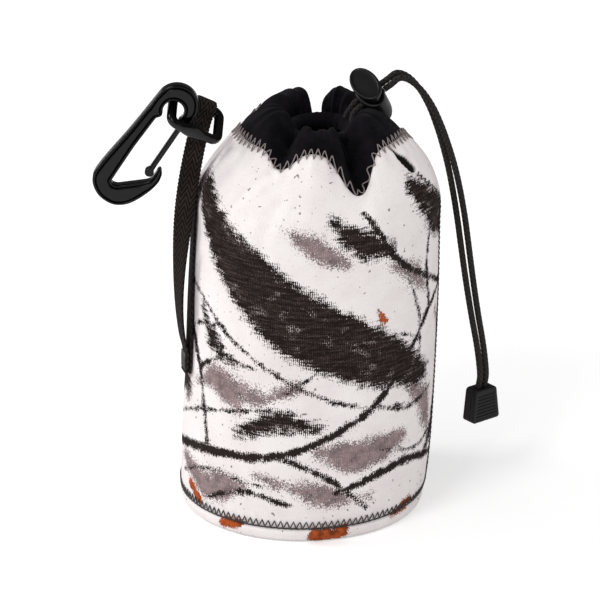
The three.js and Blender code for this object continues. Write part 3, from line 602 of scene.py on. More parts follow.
BANDS = [
    ([(-72, 150), (-40, 124), (-8, 100), (28, 82), (60, 66)], (6, 13, 16, 14, 6)),
    ([(54, 156), (74, 138), (98, 130)], (5, 10, 7)),
    ([(-116, 44), (-94, 56), (-72, 54)], (8, 11, 3)),
    ([(-34, 44), (-16, 52), (4, 50)], (2, 6, 2)),
    ([(70, 24), (84, 36), (96, 58)], (2, 7, 4)),
    ([(118, 20), (128, 60), (146, 96), (150, 140)], (12, 16, 15, 9)),
    ([(-172, 150), (-150, 118), (-128, 96)], (8, 13, 6)),
    ([(-164, 30), (-148, 52), (-126, 62)], (5, 9, 4)),
    ([(8, 148), (22, 136), (36, 132)], (3, 7, 3)),
    ([(-96, 118), (-84, 100), (-80, 84)], (3, 7, 3)),
    ([(-62, 98), (-52, 84), (-36, 76)], (1, 4, 1)),
]
TWIGS = [
    ([(-104, 18), (-58, 30), (-14, 36), (30, 58), (66, 96), (98, 108)], (2.0, 2.3, 1.9, 1.7, 1.5, 0.9)),
    ([(-14, 36), (8, 26), (30, 8)], (1.6, 1.3, 0.8)),
    ([(-88, 132), (-80, 98), (-60, 64), (-52, 30)], (1.5, 2.0, 1.5, 1.0)),
    ([(-62, 68), (-44, 78), (-26, 76)], (1.3, 1.1, 0.6)),
    ([(22, 152), (40, 126), (70, 108), (102, 96)], (1.3, 1.8, 1.4, 0.8)),
    ([(66, 96), (62, 118), (68, 142)], (1.3, 1.0, 0.6)),
    ([(14, 18), (50, 26), (90, 16)], (1.5, 2.3, 1.2)),
    ([(30, 58), (50, 52), (72, 56)], (1.2, 1.0, 0.6)),
    ([(-100, 84), (-92, 70), (-96, 54)], (0.9, 1.1, 0.6)),
    ([(-6, 12), (-30, 16), (-50, 8)], (0.9, 1.4, 0.8)),
    ([(-104, 110), (-70, 104), (-44, 92)], (0.6, 0.9, 0.5)),
    ([(96, 130), (118, 90), (160, 70), (190, 80)], (1.6, 2.2, 1.8, 1.2)),
    ([(-172, 40), (-140, 60), (-112, 34)], (1.9, 1.6, 1.1)),
    ([(-168, 100), (-130, 72), (-104, 108), (-96, 150)], (1.5, 2.0, 1.6, 1.0)),
    ([(130, 150), (150, 120), (176, 112)], (1.4, 1.9, 1.1)),
    ([(-70, 106), (-30, 82), (12, 62), (48, 54)], (0.4, 0.9, 0.7, 0.4)),
    ([(-24, 122), (14, 100), (54, 86)], (0.4, 0.8, 0.4)),
    ([(-92, 34), (-60, 48), (-18, 58)], (0.5, 0.9, 0.5)),
    ([(-44, 136), (-34, 116), (-36, 98)], (0.4, 0.8, 0.4)),
    ([(-12, 66), (4, 80), (8, 96)], (0.4, 0.7, 0.3)),
    ([(34, 36), (62, 30), (94, 44)], (0.5, 0.9, 0.4)),
    ([(46, 118), (56, 96), (58, 76)], (0.4, 0.9, 0.4)),
    ([(-84, 74), (-70, 86), (-50, 92)], (0.4, 0.8, 0.4)),
    ([(-76, 12), (-50, 22), (-20, 20)], (0.4, 0.8, 0.4)),
]
SMUDGES = [
    ([(-74, 20), (-52, 13), (-30, 18)], (4, 9, 4)),
    ([(-98, 92), (-84, 76), (-74, 50)], (7, 11, 5)),
    ([(-20, 146), (-2, 136), (14, 128)], (2, 7, 2)),
    ([(74, 92), (88, 72), (92, 44)], (3, 7, 4)),
    ([(-40, 66), (-24, 62), (-6, 70)], (4, 7, 3)),
    ([(4, 40), (24, 34), (46, 40)], (4, 9, 5)),
    ([(36, 124), (52, 116), (62, 106)], (3, 8, 4)),
    ([(100, 40), (112, 22), (120, 8)], (7, 12, 6)),
    ([(-130, 30), (-118, 18), (-96, 10)], (8, 12, 6)),
    ([(-150, 84), (-140, 66)], (8, 12)),
    ([(160, 124), (168, 92)], (8, 12)),
    ([(146, 40), (166, 26)], (8, 11)),
    ([(-26, 26), (4, 18), (32, 14)], (2, 6, 2)),
    ([(52, 62), (66, 48), (74, 28)], (3, 10, 5)),
    ([(-92, 146), (-78, 152)], (5, 7)),
    ([(-64, 60), (-48, 66), (-34, 56)], (3, 7, 3)),
]
LEAVES = [
    ([(-66, 9), (-58, 4)], (2, 3)), ([(-40, -2), (-30, 0)], (2, 2)), ([(6, -3), (20, -2)], (3.5, 3)),
    ([(48, 0), (58, 3)], (2, 3)), ([(84, 10), (92, 6)], (3, 2)), ([(-104, 5), (-96, 3)], (3, 2)),
    ([(30, 104), (34, 98)], (1, 1.6)), ([(124, 8), (134, 5)], (3, 3)), ([(164, 2), (172, 6)], (3, 2)),
    ([(-150, 8), (-142, 4)], (3, 3)), ([(-124, -2), (-116, -1)], (2, 3)),
    ([(-90, 136), (-86, 128)], (1, 1.6)),
]


def paint_print(piece, around, rise):
    """Stores each kind of mark on the cloth as a distance that the material turns into rough paint."""
    for name, marks in (("bands", BANDS), ("twigs", TWIGS), ("smudges", SMUDGES), ("leaves", LEAVES)):
        away = np.full(around.shape, FAR_OFF)
        for points, widths in marks:
            away = np.minimum(away, stroke(around, rise, points, widths))
        point_attribute(piece, name, away)


# The base: a shallow cup sewn to the wall

BASE_BEND = 3.2
BASE_WELL = 52


def base_panel():
    """The base: a round floor with its edge turned up, spun from one profile."""
    bend = [
        (BASE_RIM - BASE_BEND + BASE_BEND * math.sin(t), BASE_BEND - BASE_BEND * math.cos(t))
        for t in np.linspace(0, math.pi / 2, 7)
    ]
    profile = [(r, 0) for r in (0, 12, 24, 36, 46)] + bend
    profile += [(BASE_RIM + 0.25, 4.4), (BASE_RIM + 0.2, 5.6), (BASE_RIM - 0.5, BASE_HEIGHT - 0.1)]
    profile += [(BASE_RIM - 1.5, BASE_HEIGHT), (BASE_WELL, BASE_HEIGHT), (BASE_WELL, NEOPRENE + 0.3)]
    profile += [(r, NEOPRENE) for r in (BASE_WELL - 0.3, 36, 18, 0)]
    piece = rigid_piece("base_cloth", turned(profile, 192), "pouch")
    vertices = np.array([corner.co for corner in piece.data.vertices]) / MM
    x, y, z = vertices.T
    around, rise = cloth_place(np.arctan2(y, x), z - BASE_HEIGHT)
    set_cloth_uv(piece, around, rise)
    inside = (z > NEOPRENE - 0.1) & (np.hypot(x, y) < BASE_WELL + 1)
    point_attribute(piece, "lining", inside.astype(float))
    point_attribute(piece, "slit", np.full(len(vertices), FAR_OFF))
    paint_print(piece, around, rise)
    return stands_for(piece, "base_panel")


# The collar: knit gathered on the cord, whose hem turns round it

COLLAR_COLUMNS = 432
COLLAR_START = SEAM_SHARE + 0.006
COLLAR_STEP = 0.95
HEM_STEPS = 14
HEM_SWEEP = math.radians(285)


def gathers(angles, run):
    """Fine upright gathers of the knit, 0 at the seam and fullest at the hem."""
    wave = np.sin(23 * angles + 1.6 * np.sin(3 * angles + 0.7) + 0.9 * np.sin(5 * angles))
    fine = np.sin(47 * angles + 2.1 * np.sin(4 * angles + 1.1) + run * 0.9)
    bend = np.sin(11 * angles + 1.3 * np.sin(2 * angles) - run * 1.7)
    folds = 0.5 + 0.5 * (0.62 * wave + 0.24 * fine + 0.3 * bend)
    return np.clip(folds, 0, 1.2)


def collar_skin(angles):
    """Rows of the collar's outer and inner face, from the seam over the crest to the hem."""
    shares, rise = even_shares(COLLAR_START, 1, COLLAR_STEP)
    run = (rise / rise[-1])[:, None]
    grid_shares, grid_angles = np.meshgrid(shares, angles, indexing="ij")
    lift = gathers(grid_angles, run) * (0.3 + 1.5 * smoothstep(run, 0.1, 0.8)) * smoothstep(run, 0, 0.22)
    lift -= 0.55 * np.exp(-(rise[:, None] / 1.1))
    outer = skin_at(grid_angles, grid_shares) + outward_at(grid_angles, grid_shares) * lift[..., None]
    flat = outline_at(grid_angles, grid_shares) + inward_at(grid_angles, grid_shares) * KNIT
    return outer, place_round(flat, grid_angles), rise


def hem_turn(angles, radius, gathered):
    """Rows of the hem, turned round the cord at a distance from its middle."""
    arrival = hem_arrival(angles)
    rows = []
    for share in np.arange(1, HEM_STEPS + 1) / HEM_STEPS:
        at = arrival - HEM_SWEEP * share
        swell = radius + gathered * gathers(angles, 1.0) * (1 - 0.5 * share)
        flat = np.stack([MOUTH_RADIUS + swell * np.cos(at), HEM_HEIGHT + swell * np.sin(at)], axis=1)
        rows.append(place_round(flat, angles))
    return np.array(rows)


def collar():
    """The knit collar: out over the gathers, round the cord and back inside."""
    angles = round_angles(COLLAR_COLUMNS)
    outer, inner, rise = collar_skin(angles)
    near = hem_turn(angles, CHANNEL_RADIUS, 0)
    far = hem_turn(angles, CHANNEL_RADIUS + KNIT * 0.7, 0.5)
    rows = np.concatenate([outer, near, far[::-1], inner[:-1][::-1]])
    piece = mesh_object("collar_cloth", rows.reshape(-1, 3), ring_faces(len(rows), COLLAR_COLUMNS), "pouch")
    turn = rise[-1] + np.linspace(1, CHANNEL_RADIUS * 5, HEM_STEPS)
    run = np.concatenate([rise, turn, turn[::-1], rise[:-1][::-1]])
    around, up_run = cloth_place(*np.broadcast_arrays(angles[None], run[:, None]))
    set_cloth_uv(piece, around, up_run)
    stands_for(piece, "collar")
    return piece


# Sewing

THREAD_RADIUS = 0.27
BASE_STITCHES = 122
COLLAR_STITCHES = 70
SIDE_STITCHES = 62


def thread(name, points, radius):
    """A thread through given points, laid as one thin tube."""
    piece = mesh_object(name, *tube_mesh(points, radius, 6), "pouch")
    return piece


def cloth_thread(name, angles, shares, radius, lift):
    """A thread that follows the cloth's outer face, lifted off it by some millimetres."""
    points = skin_at(angles, shares) + outward_at(angles, shares) * np.reshape(lift, (-1, 1))
    return thread(name, points, radius)


def saw(t, stretch=1.0):
    """A wave of straight flanks from 1 down to -1 and back, flattened at both ends by stretching."""
    return np.clip((2 * np.abs(2 * (t % 1) - 1) - 1) * stretch, -1, 1)


def zigzag(count, steps, low, high, wobble, seed):
    """Angles and places across a seam for a closed zigzag with softly rounded corners."""
    t = np.arange(count * steps + 1) / steps
    rng = np.random.default_rng(seed)
    jitter = np.repeat(rng.normal(0, wobble, count), steps)
    jitter = np.append(jitter, jitter[0])
    return t / count * TAU, (low + high) / 2 + saw(t, 1.12) * (high - low) / 2 + jitter


def wall_share_of(rise_wanted):
    """The share of the outline that lies so many millimetres up the cloth."""
    shares, rise = even_shares(0, SEAM_SHARE, 0.5)
    return np.interp(rise_wanted, rise, shares)


def base_sewing():
    """The overlock zigzag over the base's edge, and the straight seam under it."""
    angles, across = zigzag(BASE_STITCHES, 6, 0.5, 4.1, 0.1, 2)
    overlock = cloth_thread("base_overlock_thread", angles, wall_share_of(across), THREAD_RADIUS, 0.32)
    angles = np.linspace(0, TAU, 1000)
    across = 0.35 + 0.1 * np.sin(angles * BASE_STITCHES)
    return overlock, cloth_thread("base_seam_thread", angles, wall_share_of(across), 0.3, 0.1)


def collar_sewing():
    """The wide zigzag between the wall and the collar."""
    angles, across = zigzag(COLLAR_STITCHES, 10, -2.4, 2.4, 0.15, 5)
    outline_length = 119
    lift = np.where(across > 0, 0.35 + 0.45 * smoothstep(across, 0, 2), 0.35)
    shares = SEAM_SHARE + 0.003 + across / outline_length
    return cloth_thread("collar_seam_thread", angles, shares, THREAD_RADIUS, lift)


def side_sewing():
    """The dark zigzag down the side seam of the wall."""
    steps = 8
    t = np.arange(SIDE_STITCHES * steps + 1) / steps
    rise = 4.5 + t / SIDE_STITCHES * (SLIT[0] - 5)
    angles = side_seam_turn(rise) + saw(t, 1.1) * 1.9 / WALL_RADIUS
    return cloth_thread("side_seam_thread", angles, wall_share_of(rise), THREAD_RADIUS, 0.1)


# Cords

BRAID_PITCH = 2.3
BRAID_STEP = 0.29
BRAID_STRANDS = 4
BRAID_SIDES = 24


def cord_piece(name, path, node):
    """A braided cord: a tube whose strands show as crossing rows of small bumps."""
    line = even(catmull(path, 600), BRAID_STEP)
    run = np.arange(len(line)) * BRAID_STEP
    angles = round_angles(BRAID_SIDES)
    bumps = 0.5 + 0.5 * np.cos(BRAID_STRANDS * angles)[None] * np.cos(run * TAU / BRAID_PITCH)[:, None]
    radius = CORD / 2 * (0.87 + 0.12 * bumps**0.6)
    piece = mesh_object(name, *tube_mesh(line, radius, BRAID_SIDES), "pouch")
    along = np.repeat(run[:, None], BRAID_SIDES, axis=1)
    turn = np.repeat(angles[None] / TAU, len(run), axis=0)
    point_attribute(piece, "braid", np.stack([along, turn, 0 * along], axis=-1), "FLOAT_VECTOR")
    return stands_for(piece, node), line


# Hard pieces

def frame_matrix(x, y, z, origin):
    """The placing of a piece drawn in its own frame, in millimetres."""
    matrix = Matrix((x, y, z)).transposed().to_4x4()
    matrix.translation = origin
    return matrix


def placed(points, matrix):
    return points @ np.array(matrix.to_3x3()).T + np.array(matrix.translation)


def drawn_out(outlines, matrix=None, closed=False):
    """A body drawn out of one face: each further outline is the last face, extruded and set in its place."""
    made = bmesh.new()
    face = first = made.faces.new([made.verts.new(place) for place in outlines[0]])
    for outline in outlines[1:]:
        extruded = bmesh.ops.extrude_face_region(made, geom=[face])["geom"]
        if face is not first and face.is_valid:
            bmesh.ops.delete(made, geom=[face], context="FACES_ONLY")
        face = next(part for part in extruded if isinstance(part, bmesh.types.BMFace))
        for corner, place in zip(face.verts, outline):
            corner.co = place
    if closed:
        rims = [*first.edges, *face.edges]
        bmesh.ops.delete(made, geom=[first, face], context="FACES_ONLY")
        bmesh.ops.bridge_loops(made, edges=rims)
    if matrix:
        bmesh.ops.transform(made, matrix=matrix, verts=made.verts)
    return made


def turned(profile, columns):
    """A body spun round the upright axis from a profile that starts and ends on it."""
    made = bmesh.new()
    corners = [made.verts.new((r, 0, z)) for r, z in profile]
    edges = [made.edges.new(pair) for pair in zip(corners, corners[1:])]
    bmesh.ops.spin(
        made, geom=[*corners, *edges], cent=(0, 0, 0), axis=(0, 0, 1), angle=TAU, steps=columns,
        use_merge=True)
    bmesh.ops.remove_doubles(made, verts=made.verts, dist=0.001)
    return made


def block(low, high, matrix):
    made = bmesh.new()
    low, high = Vector(low), Vector(high)
    bmesh.ops.create_cube(made, size=1)
    bmesh.ops.scale(made, vec=high - low, verts=made.verts)
    bmesh.ops.translate(made, vec=(high + low) / 2, verts=made.verts)
    bmesh.ops.transform(made, matrix=matrix, verts=made.verts)
    return made


def rod(radius, low, high, matrix, sides=24, centre=(0, 0), chamfer=0.0):
    made = bmesh.new()
    bmesh.ops.create_cone(
        made, cap_ends=True, segments=sides, radius1=radius, radius2=radius, depth=high - low)
    if chamfer:
        rims = [e for e in made.edges if abs(e.verts[0].co.z - e.verts[1].co.z) < 1e-4]
        bmesh.ops.bevel(
            made, geom=rims, offset=chamfer, segments=2, affect="EDGES", profile=0.5, material=-1)
    bmesh.ops.translate(made, vec=(*centre, (high + low) / 2), verts=made.verts)
    bmesh.ops.transform(made, matrix=matrix, verts=made.verts)
    return made


def carve(piece, cutters):
    """Cuts closed bodies out of a piece for good."""
    for made in cutters:
        cutter = placed_object("cutter", to_mesh("cutter", made))
        cut = piece.modifiers.new("cut", "BOOLEAN")
        cut.operation, cut.solver, cut.object = "DIFFERENCE", "EXACT", cutter
        bpy.context.view_layer.update()
        evaluated = piece.evaluated_get(bpy.context.evaluated_depsgraph_get())
        result = bpy.data.meshes.new_from_object(evaluated)
        piece.modifiers.clear()
        old, tool = piece.data, cutter.data
        piece.data = result
        bpy.data.meshes.remove(old)
        bpy.data.objects.remove(cutter)
        bpy.data.meshes.remove(tool)


def smooth_by_angle(piece, degrees=38):
    """Smooth shading with creases kept sharp."""
    mesh = piece.data
    made = bmesh.new()
    made.from_mesh(mesh)
    for edge in made.edges:
        edge.smooth = len(edge.link_faces) == 2 and edge.calc_face_angle(0) < math.radians(degrees)
    for face in made.faces:
        face.smooth = True
    made.to_mesh(mesh)
    made.free()


def oval_sections(profile, columns):
    """Oval outlines from their two half widths and their heights."""
    angles = round_angles(columns)
    return [
        np.stack([a * np.cos(angles), b * np.sin(angles), np.full(columns, z)], axis=1)
        for a, b, z in profile
    ]


def round_off(past, radius):
    """How far a rounded edge has fallen back at a distance past its start."""
    return radius - math.sqrt(max(radius**2 - past**2, 0))


LOCK_FRAME = frame_matrix(LOCK_LONG_SIDE, LOCK_THROUGH, LOCK_AXIS, LOCK_FOOT)
LOCK_COLUMNS = 64
LOCK_WALL = 1.3
LOCK_FLOOR = 1.5
LOCK_BARREL = 15.5
CAP_THICKNESS = 2.5
TRAVEL = 3.2
SLOT_WIDTH = CORD_SPACING + CORD + 2 * SEAT_GAP
SLOT_HALF = CORD / 2 + SEAT_GAP
STEM_BOTTOM = LOCK_SLOT_HEIGHT - SLOT_HALF - TRAVEL


def lock_ovals(steps):
    """Profile of the lock's ovals, each given by how far it lies inside the widest one, and its height."""
    return [(LOCK_LONG / 2 - inset, LOCK_SHORT / 2 - inset, z) for inset, z in steps]


def cord_slot(travel=0.0):
    """The slot that both strands run through, longer in a piece that moves past them."""
    return block(
        (-SLOT_WIDTH / 2, -LOCK_SHORT, LOCK_SLOT_HEIGHT - SLOT_HALF),
        (SLOT_WIDTH / 2, LOCK_SHORT, LOCK_SLOT_HEIGHT + SLOT_HALF + travel), LOCK_FRAME)


def lock_barrel():
    """The barrel of the cord lock: an oval cup with a rounded foot, a rolled lip and the cord's slot."""
    bend = 2
    foot = [(bend - bend * math.sin(t), bend - bend * math.cos(t)) for t in np.linspace(0, math.pi / 2, 8)]
    outside = [(0, z) for z in (5, 8, 11, 14)]
    lip = [(0, LOCK_BARREL - 0.6), (0.15, LOCK_BARREL - 0.2), (0.5, LOCK_BARREL)]
    lip += [(LOCK_WALL - 0.3, LOCK_BARREL), (LOCK_WALL, LOCK_BARREL - 0.3)]
    inside = [(LOCK_WALL, z) for z in (12, 8, 4, LOCK_FLOOR)]
    sections = oval_sections(lock_ovals(foot + outside + lip + inside), LOCK_COLUMNS)
    piece = rigid_piece("cord_lock_cup", drawn_out(sections, LOCK_FRAME), "lock")
    carve(piece, [cord_slot()])
    smooth_by_angle(piece)
    return stands_for(piece, "cord_lock_barrel")


def lock_plunger():
    """The button of the cord lock: an oval cap with a raised rim on a slotted stem."""
    stem = LOCK_WALL + SEAT_GAP
    under, top = LOCK_HEIGHT - CAP_THICKNESS, LOCK_HEIGHT
    steps = [(stem + 0.4, STEM_BOTTOM), (stem, STEM_BOTTOM + 0.4)]
    steps += [(stem, z) for z in (9, 13, 17, under - 0.3)]
    steps += [(stem - 0.3, under), (0.6, under), (0.15, under + 0.25), (0, under + 0.7)]
    steps += [(0, top - 0.75), (0.12, top - 0.3), (0.45, top - 0.03)]
    steps += [(0.9, top), (1.2, top - 0.12), (1.5, top - 0.42), (2.2, top - 0.5)]
    dish = [(LOCK_LONG / 4, LOCK_SHORT / 5, top - 0.38), (0.8, 0.5, top - 0.34)]
    sections = oval_sections(lock_ovals(steps) + dish, LOCK_COLUMNS)
    piece = rigid_piece("cord_lock_button", drawn_out(sections, LOCK_FRAME), "button")
    spring_seat = rod(3, STEM_BOTTOM - 1, LOCK_SLOT_HEIGHT - SLOT_HALF - LOCK_WALL, LOCK_FRAME)
    carve(piece, [cord_slot(TRAVEL), spring_seat])
    smooth_by_angle(piece)
    return stands_for(piece, "cord_lock_plunger")


def lock_spring():
    """The coil spring under the button, drawn in one fixed shape, though the real one squashes as the button
    goes in.
    """
    wire, outer, curls = 0.6, 4.8, 3
    low = LOCK_FLOOR + SEAT_GAP + wire / 2
    high = LOCK_SLOT_HEIGHT - SLOT_HALF - LOCK_WALL - SEAT_GAP - wire / 2
    t = np.linspace(0, 1, curls * 20 + 1)
    radius, turn = (outer - wire) / 2, t * curls * TAU
    helix = np.stack([radius * np.cos(turn), radius * np.sin(turn), low + (high - low) * t], axis=1)
    piece = mesh_object("cord_lock_coil", *tube_mesh(placed(helix, LOCK_FRAME), wire / 2, 8), "lock")
    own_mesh(piece)
    return stands_for(piece, "cord_lock_spring")


CORD_END_FRAME = frame_matrix(CORD_END_ACROSS, -CORD_END_FRONT, UP, CORD_END_TOP - UP * CORD_END_HEIGHT)


CORD_END_WIDTHS = (16.5, 12.5)
CORD_END_CORNER = 1.9
CORD_END_EDGE = 0.9
RIBS_FROM, RIBS_TO, RIBS = 2.3, 12.7, 7
RIB_HEIGHT = 0.42
PANEL_FROM, PANEL_TO, PANEL_DEPTH = 1.6, 13.6, 0.35
KNOT_WIDTH = 7
KNOT_DEPTH = 5.4


def cord_end_levels():
    """Heights of the cord end's sections, close together at its rounded ends."""
    corner = CORD_END_CORNER
    turn = np.linspace(0, math.pi / 2, 7)
    between = np.linspace(corner, CORD_END_HEIGHT - corner, 62)[1:-1]
    return np.concatenate([
        corner - corner * np.cos(turn), between, CORD_END_HEIGHT - corner + corner * np.sin(turn)])


def cord_end_section(z, depth):
    """One level section of a cord end's half, from its flat side out to its ribbed face."""
    low, high = CORD_END_WIDTHS[0] / 2, CORD_END_WIDTHS[1] / 2
    near_end = min(z, CORD_END_HEIGHT - z)
    half = low + (high - low) * z / CORD_END_HEIGHT
    half -= round_off(max(CORD_END_CORNER - near_end, 0), CORD_END_CORNER)
    edge = min(CORD_END_EDGE, 0.25 + 0.5 * math.sqrt(max(0, near_end)))
    depth -= 0.7 * round_off(1 - min(1, near_end / CORD_END_EDGE), 1)
    panel = PANEL_DEPTH if PANEL_FROM < z < PANEL_TO else 0
    rib = 0
    if RIBS_FROM < z < RIBS_TO:
        wave = math.sin((z - RIBS_FROM) / (RIBS_TO - RIBS_FROM) * math.pi * (2 * RIBS - 1))
        rib = RIB_HEIGHT * max(0, wave) ** 0.6
    row = [(-half, 0.0)]
    for u in np.linspace(-1, 1, 33):
        x = half * math.sin(u * math.pi / 2)
        inset = half - abs(x)
        field = float(smoothstep(inset, 1.5, 1.9))
        row.append((x, depth - round_off(max(edge - inset, 0), edge) + (rib - panel) * field))
    row.append((half, 0.0))
    return row + [(half * (1 - k / 6), 0.0) for k in range(1, 12)]


def cord_end_half(name, node, body, near, far, front):
    """Half of the cord end: a rounded trapezoid with ribs across its outer face."""
    side = -1 if front else 1
    sections = [
        [(x, side * (near + y), z) for x, y in cord_end_section(z, far - near)]
        for z in cord_end_levels()
    ]
    piece = rigid_piece(name, drawn_out(sections, CORD_END_FRAME), body)
    width, depth = KNOT_WIDTH + 4 * SEAT_GAP, KNOT_DEPTH + 2 * SEAT_GAP
    top = CORD_END_HEIGHT - CORD_END_NOTCH - SEAT_GAP
    room = block(
        (-width / 2, CORD_END_MIDDLE - depth / 2, top - width),
        (width / 2, CORD_END_MIDDLE + depth / 2, top), CORD_END_FRAME)
    notch = block(
        (-SLOT_WIDTH / 2, CORD_END_MIDDLE - SLOT_HALF, top - SEAT_GAP),
        (SLOT_WIDTH / 2, CORD_END_MIDDLE + SLOT_HALF, CORD_END_HEIGHT + 2), CORD_END_FRAME)
    carve(piece, [room, notch])
    smooth_by_angle(piece, 45)
    return stands_for(piece, node)


def cord_knot():
    """The stopper knot: one strand wound over itself, inside the cord end."""
    centre = (0, CORD_END_MIDDLE, CORD_END_HEIGHT - CORD_END_NOTCH - 2 * SEAT_GAP - KNOT_WIDTH / 2)
    t = np.linspace(0, TAU, 140, endpoint=False)
    spread_out, depth, strand = 0.78, 1.15, 1.1
    x = (np.sin(t) + 2 * np.sin(2 * t)) * spread_out
    z = (np.cos(t) - 2 * np.cos(2 * t)) * spread_out
    line = np.stack([x, -np.sin(3 * t) * depth, z], axis=1) + centre
    line = placed(np.vstack([line, line[:1]]), CORD_END_FRAME)
    piece = mesh_object("cord_stopper_knot", *tube_mesh(line, strand, 12), "pouch")
    return stands_for(piece, "cord_knot")


# The hanger: webbing folded over a ring, with a snap hook

RING_REACH = Vector((0.86, 0.2, -0.47)).normalized()
RING_ACROSS = Vector((0.06, 0.888, 0))
RING_ACROSS.z = -(RING_ACROSS.x * RING_REACH.x + RING_ACROSS.y * RING_REACH.y) / RING_REACH.z
RING_ACROSS.normalize()
RING_UP = RING_REACH.cross(RING_ACROSS)
RING_PIVOT = Vector((-57.7, -18, 195.6))
RING_LENGTH = 27.6
RING_BAR = 4
RING_THICKNESS = 3.8
RING_SPACING = 16.4
RING_FRONT_DEPTH = 7
RING_BEND = 3.2
RING_SQUARENESS = 3.4
RING_SIDES = 28
FOLD_PLACE = 15.6
FOLD_SHORT = math.radians(22)
FOLD_DRIFT = 0.12
WEB_WIDTH = 9.5
WEB_THICKNESS = 1.3
ANCHOR_ANGLE = math.radians(196)
ANCHOR_HEIGHT = 78
SEWN_LENGTH = 10
TACK_HALF_WIDTH = 3.7
WEB_STEP = 0.55
WEFT_PITCH = 1.1
SCALLOP_PITCH = 1.9
FRONT_RISE = Vector((-8.5, -4, 34))
FRONT_ARRIVAL = 13
REAR_LEAVING = 8
REAR_ARRIVAL = 14
CONTACT_HEIGHT = 150
CONTACT_ANGLE = math.radians(188)
INNER_LAYER = SEAT_GAP + WEB_THICKNESS / 2
OUTER_LAYER = INNER_LAYER + SEAT_GAP + WEB_THICKNESS
FOLD_RADIUS = 1.35 * (RING_BAR / 2) + SEAT_GAP + WEB_THICKNESS / 2
FOLD_CENTRE = RING_PIVOT + RING_REACH * FOLD_PLACE + RING_ACROSS * (RING_SPACING / 2)


def wall_place(angle, z):
    """A point on the wall's outer face, with the way out and the way round there."""
    shares = np.linspace(0, SEAM_SHARE, 400)
    flat = outline_at(np.full_like(shares, angle), shares)
    radius = float(np.interp(z, flat[:, 1], flat[:, 0]))
    out = Vector((math.cos(angle), math.sin(angle), 0))
    return Vector((float(lean(z)), 0, z)) + out * radius, out, Vector((-out.y, out.x, 0))


def bezier(a, b, c, d, t):
    """The point a share t along the curve from a to d, drawn by the handles b and c."""
    s = 1 - t
    return a * s**3 + b * (3 * s * s * t) + c * (3 * s * t * t) + d * t**3


def fold_at(angle):
    """A place on the fold round the ring's rear bar, from the front layer up and over to the rear one."""
    forward, upward = -FOLD_RADIUS * math.cos(angle), FOLD_RADIUS * math.sin(angle)
    return FOLD_CENTRE + RING_ACROSS * forward + RING_UP * upward


def webbing_line():
    """Points of the webbing's middle, each with the way its width runs."""
    frames = []
    foot, foot_out, _ = wall_place(ANCHOR_ANGLE, ANCHOR_HEIGHT - SEWN_LENGTH)
    leave, leave_out, leave_round = wall_place(ANCHOR_ANGLE, ANCHOR_HEIGHT)
    start = leave + leave_out * OUTER_LAYER
    frames.append((foot + foot_out * OUTER_LAYER, leave_round))
    front, rear = fold_at(FOLD_SHORT), fold_at(math.pi)
    leaving = RING_REACH * FOLD_DRIFT - RING_ACROSS * math.sin(FOLD_SHORT) - RING_UP * math.cos(FOLD_SHORT)
    for i in range(16):
        t = i / 16
        point = bezier(start, start + FRONT_RISE, front + leaving * FRONT_ARRIVAL, front, t)
        frames.append((point, leave_round.lerp(RING_REACH, float(smoothstep(t, 0, 0.9)))))
    for i in range(13):
        frames.append((fold_at(FOLD_SHORT + (math.pi - FOLD_SHORT) * i / 12), RING_REACH.copy()))
    contact, contact_out, contact_round = wall_place(CONTACT_ANGLE, CONTACT_HEIGHT)
    touch = contact + contact_out * INNER_LAYER
    for i in range(1, 10):
        t = i / 10
        point = bezier(rear, rear - RING_UP * REAR_LEAVING, touch + UP * REAR_ARRIVAL, touch, t)
        frames.append((point, RING_REACH.lerp(contact_round, float(smoothstep(t, 0.1, 1)))))
    for i in range(9):
        share = i / 8
        angle = CONTACT_ANGLE + (ANCHOR_ANGLE - CONTACT_ANGLE) * min(1, share * 1.2)
        z = CONTACT_HEIGHT + (ANCHOR_HEIGHT - SEWN_LENGTH - CONTACT_HEIGHT) * share
        point, out, round_way = wall_place(angle, z)
        frames.append((point + out * INNER_LAYER, round_way))
    return frames


def webbing_section(run, u):
    """Half widths of the woven section at one place along it, and its height above and below the middle."""
    scallop = 0.16 * math.sin(run * TAU / SCALLOP_PITCH)
    side = WEB_WIDTH / 2 - 0.12 + np.where(np.abs(u) > 0.97, scallop, 0)
    lane = 0.5 - 0.5 * np.cos(u * math.pi * 5)
    round_edge = np.sqrt(np.clip(1 - np.abs(u) ** 9, 0.02, 1))
    rib = 0.07 * math.sin(run * TAU / WEFT_PITCH) * (1 - np.abs(u) ** 6) * 0.7
    thick = WEB_THICKNESS / 2 * round_edge * (0.93 + 0.07 * lane)
    return side, thick + rib, rib - thick


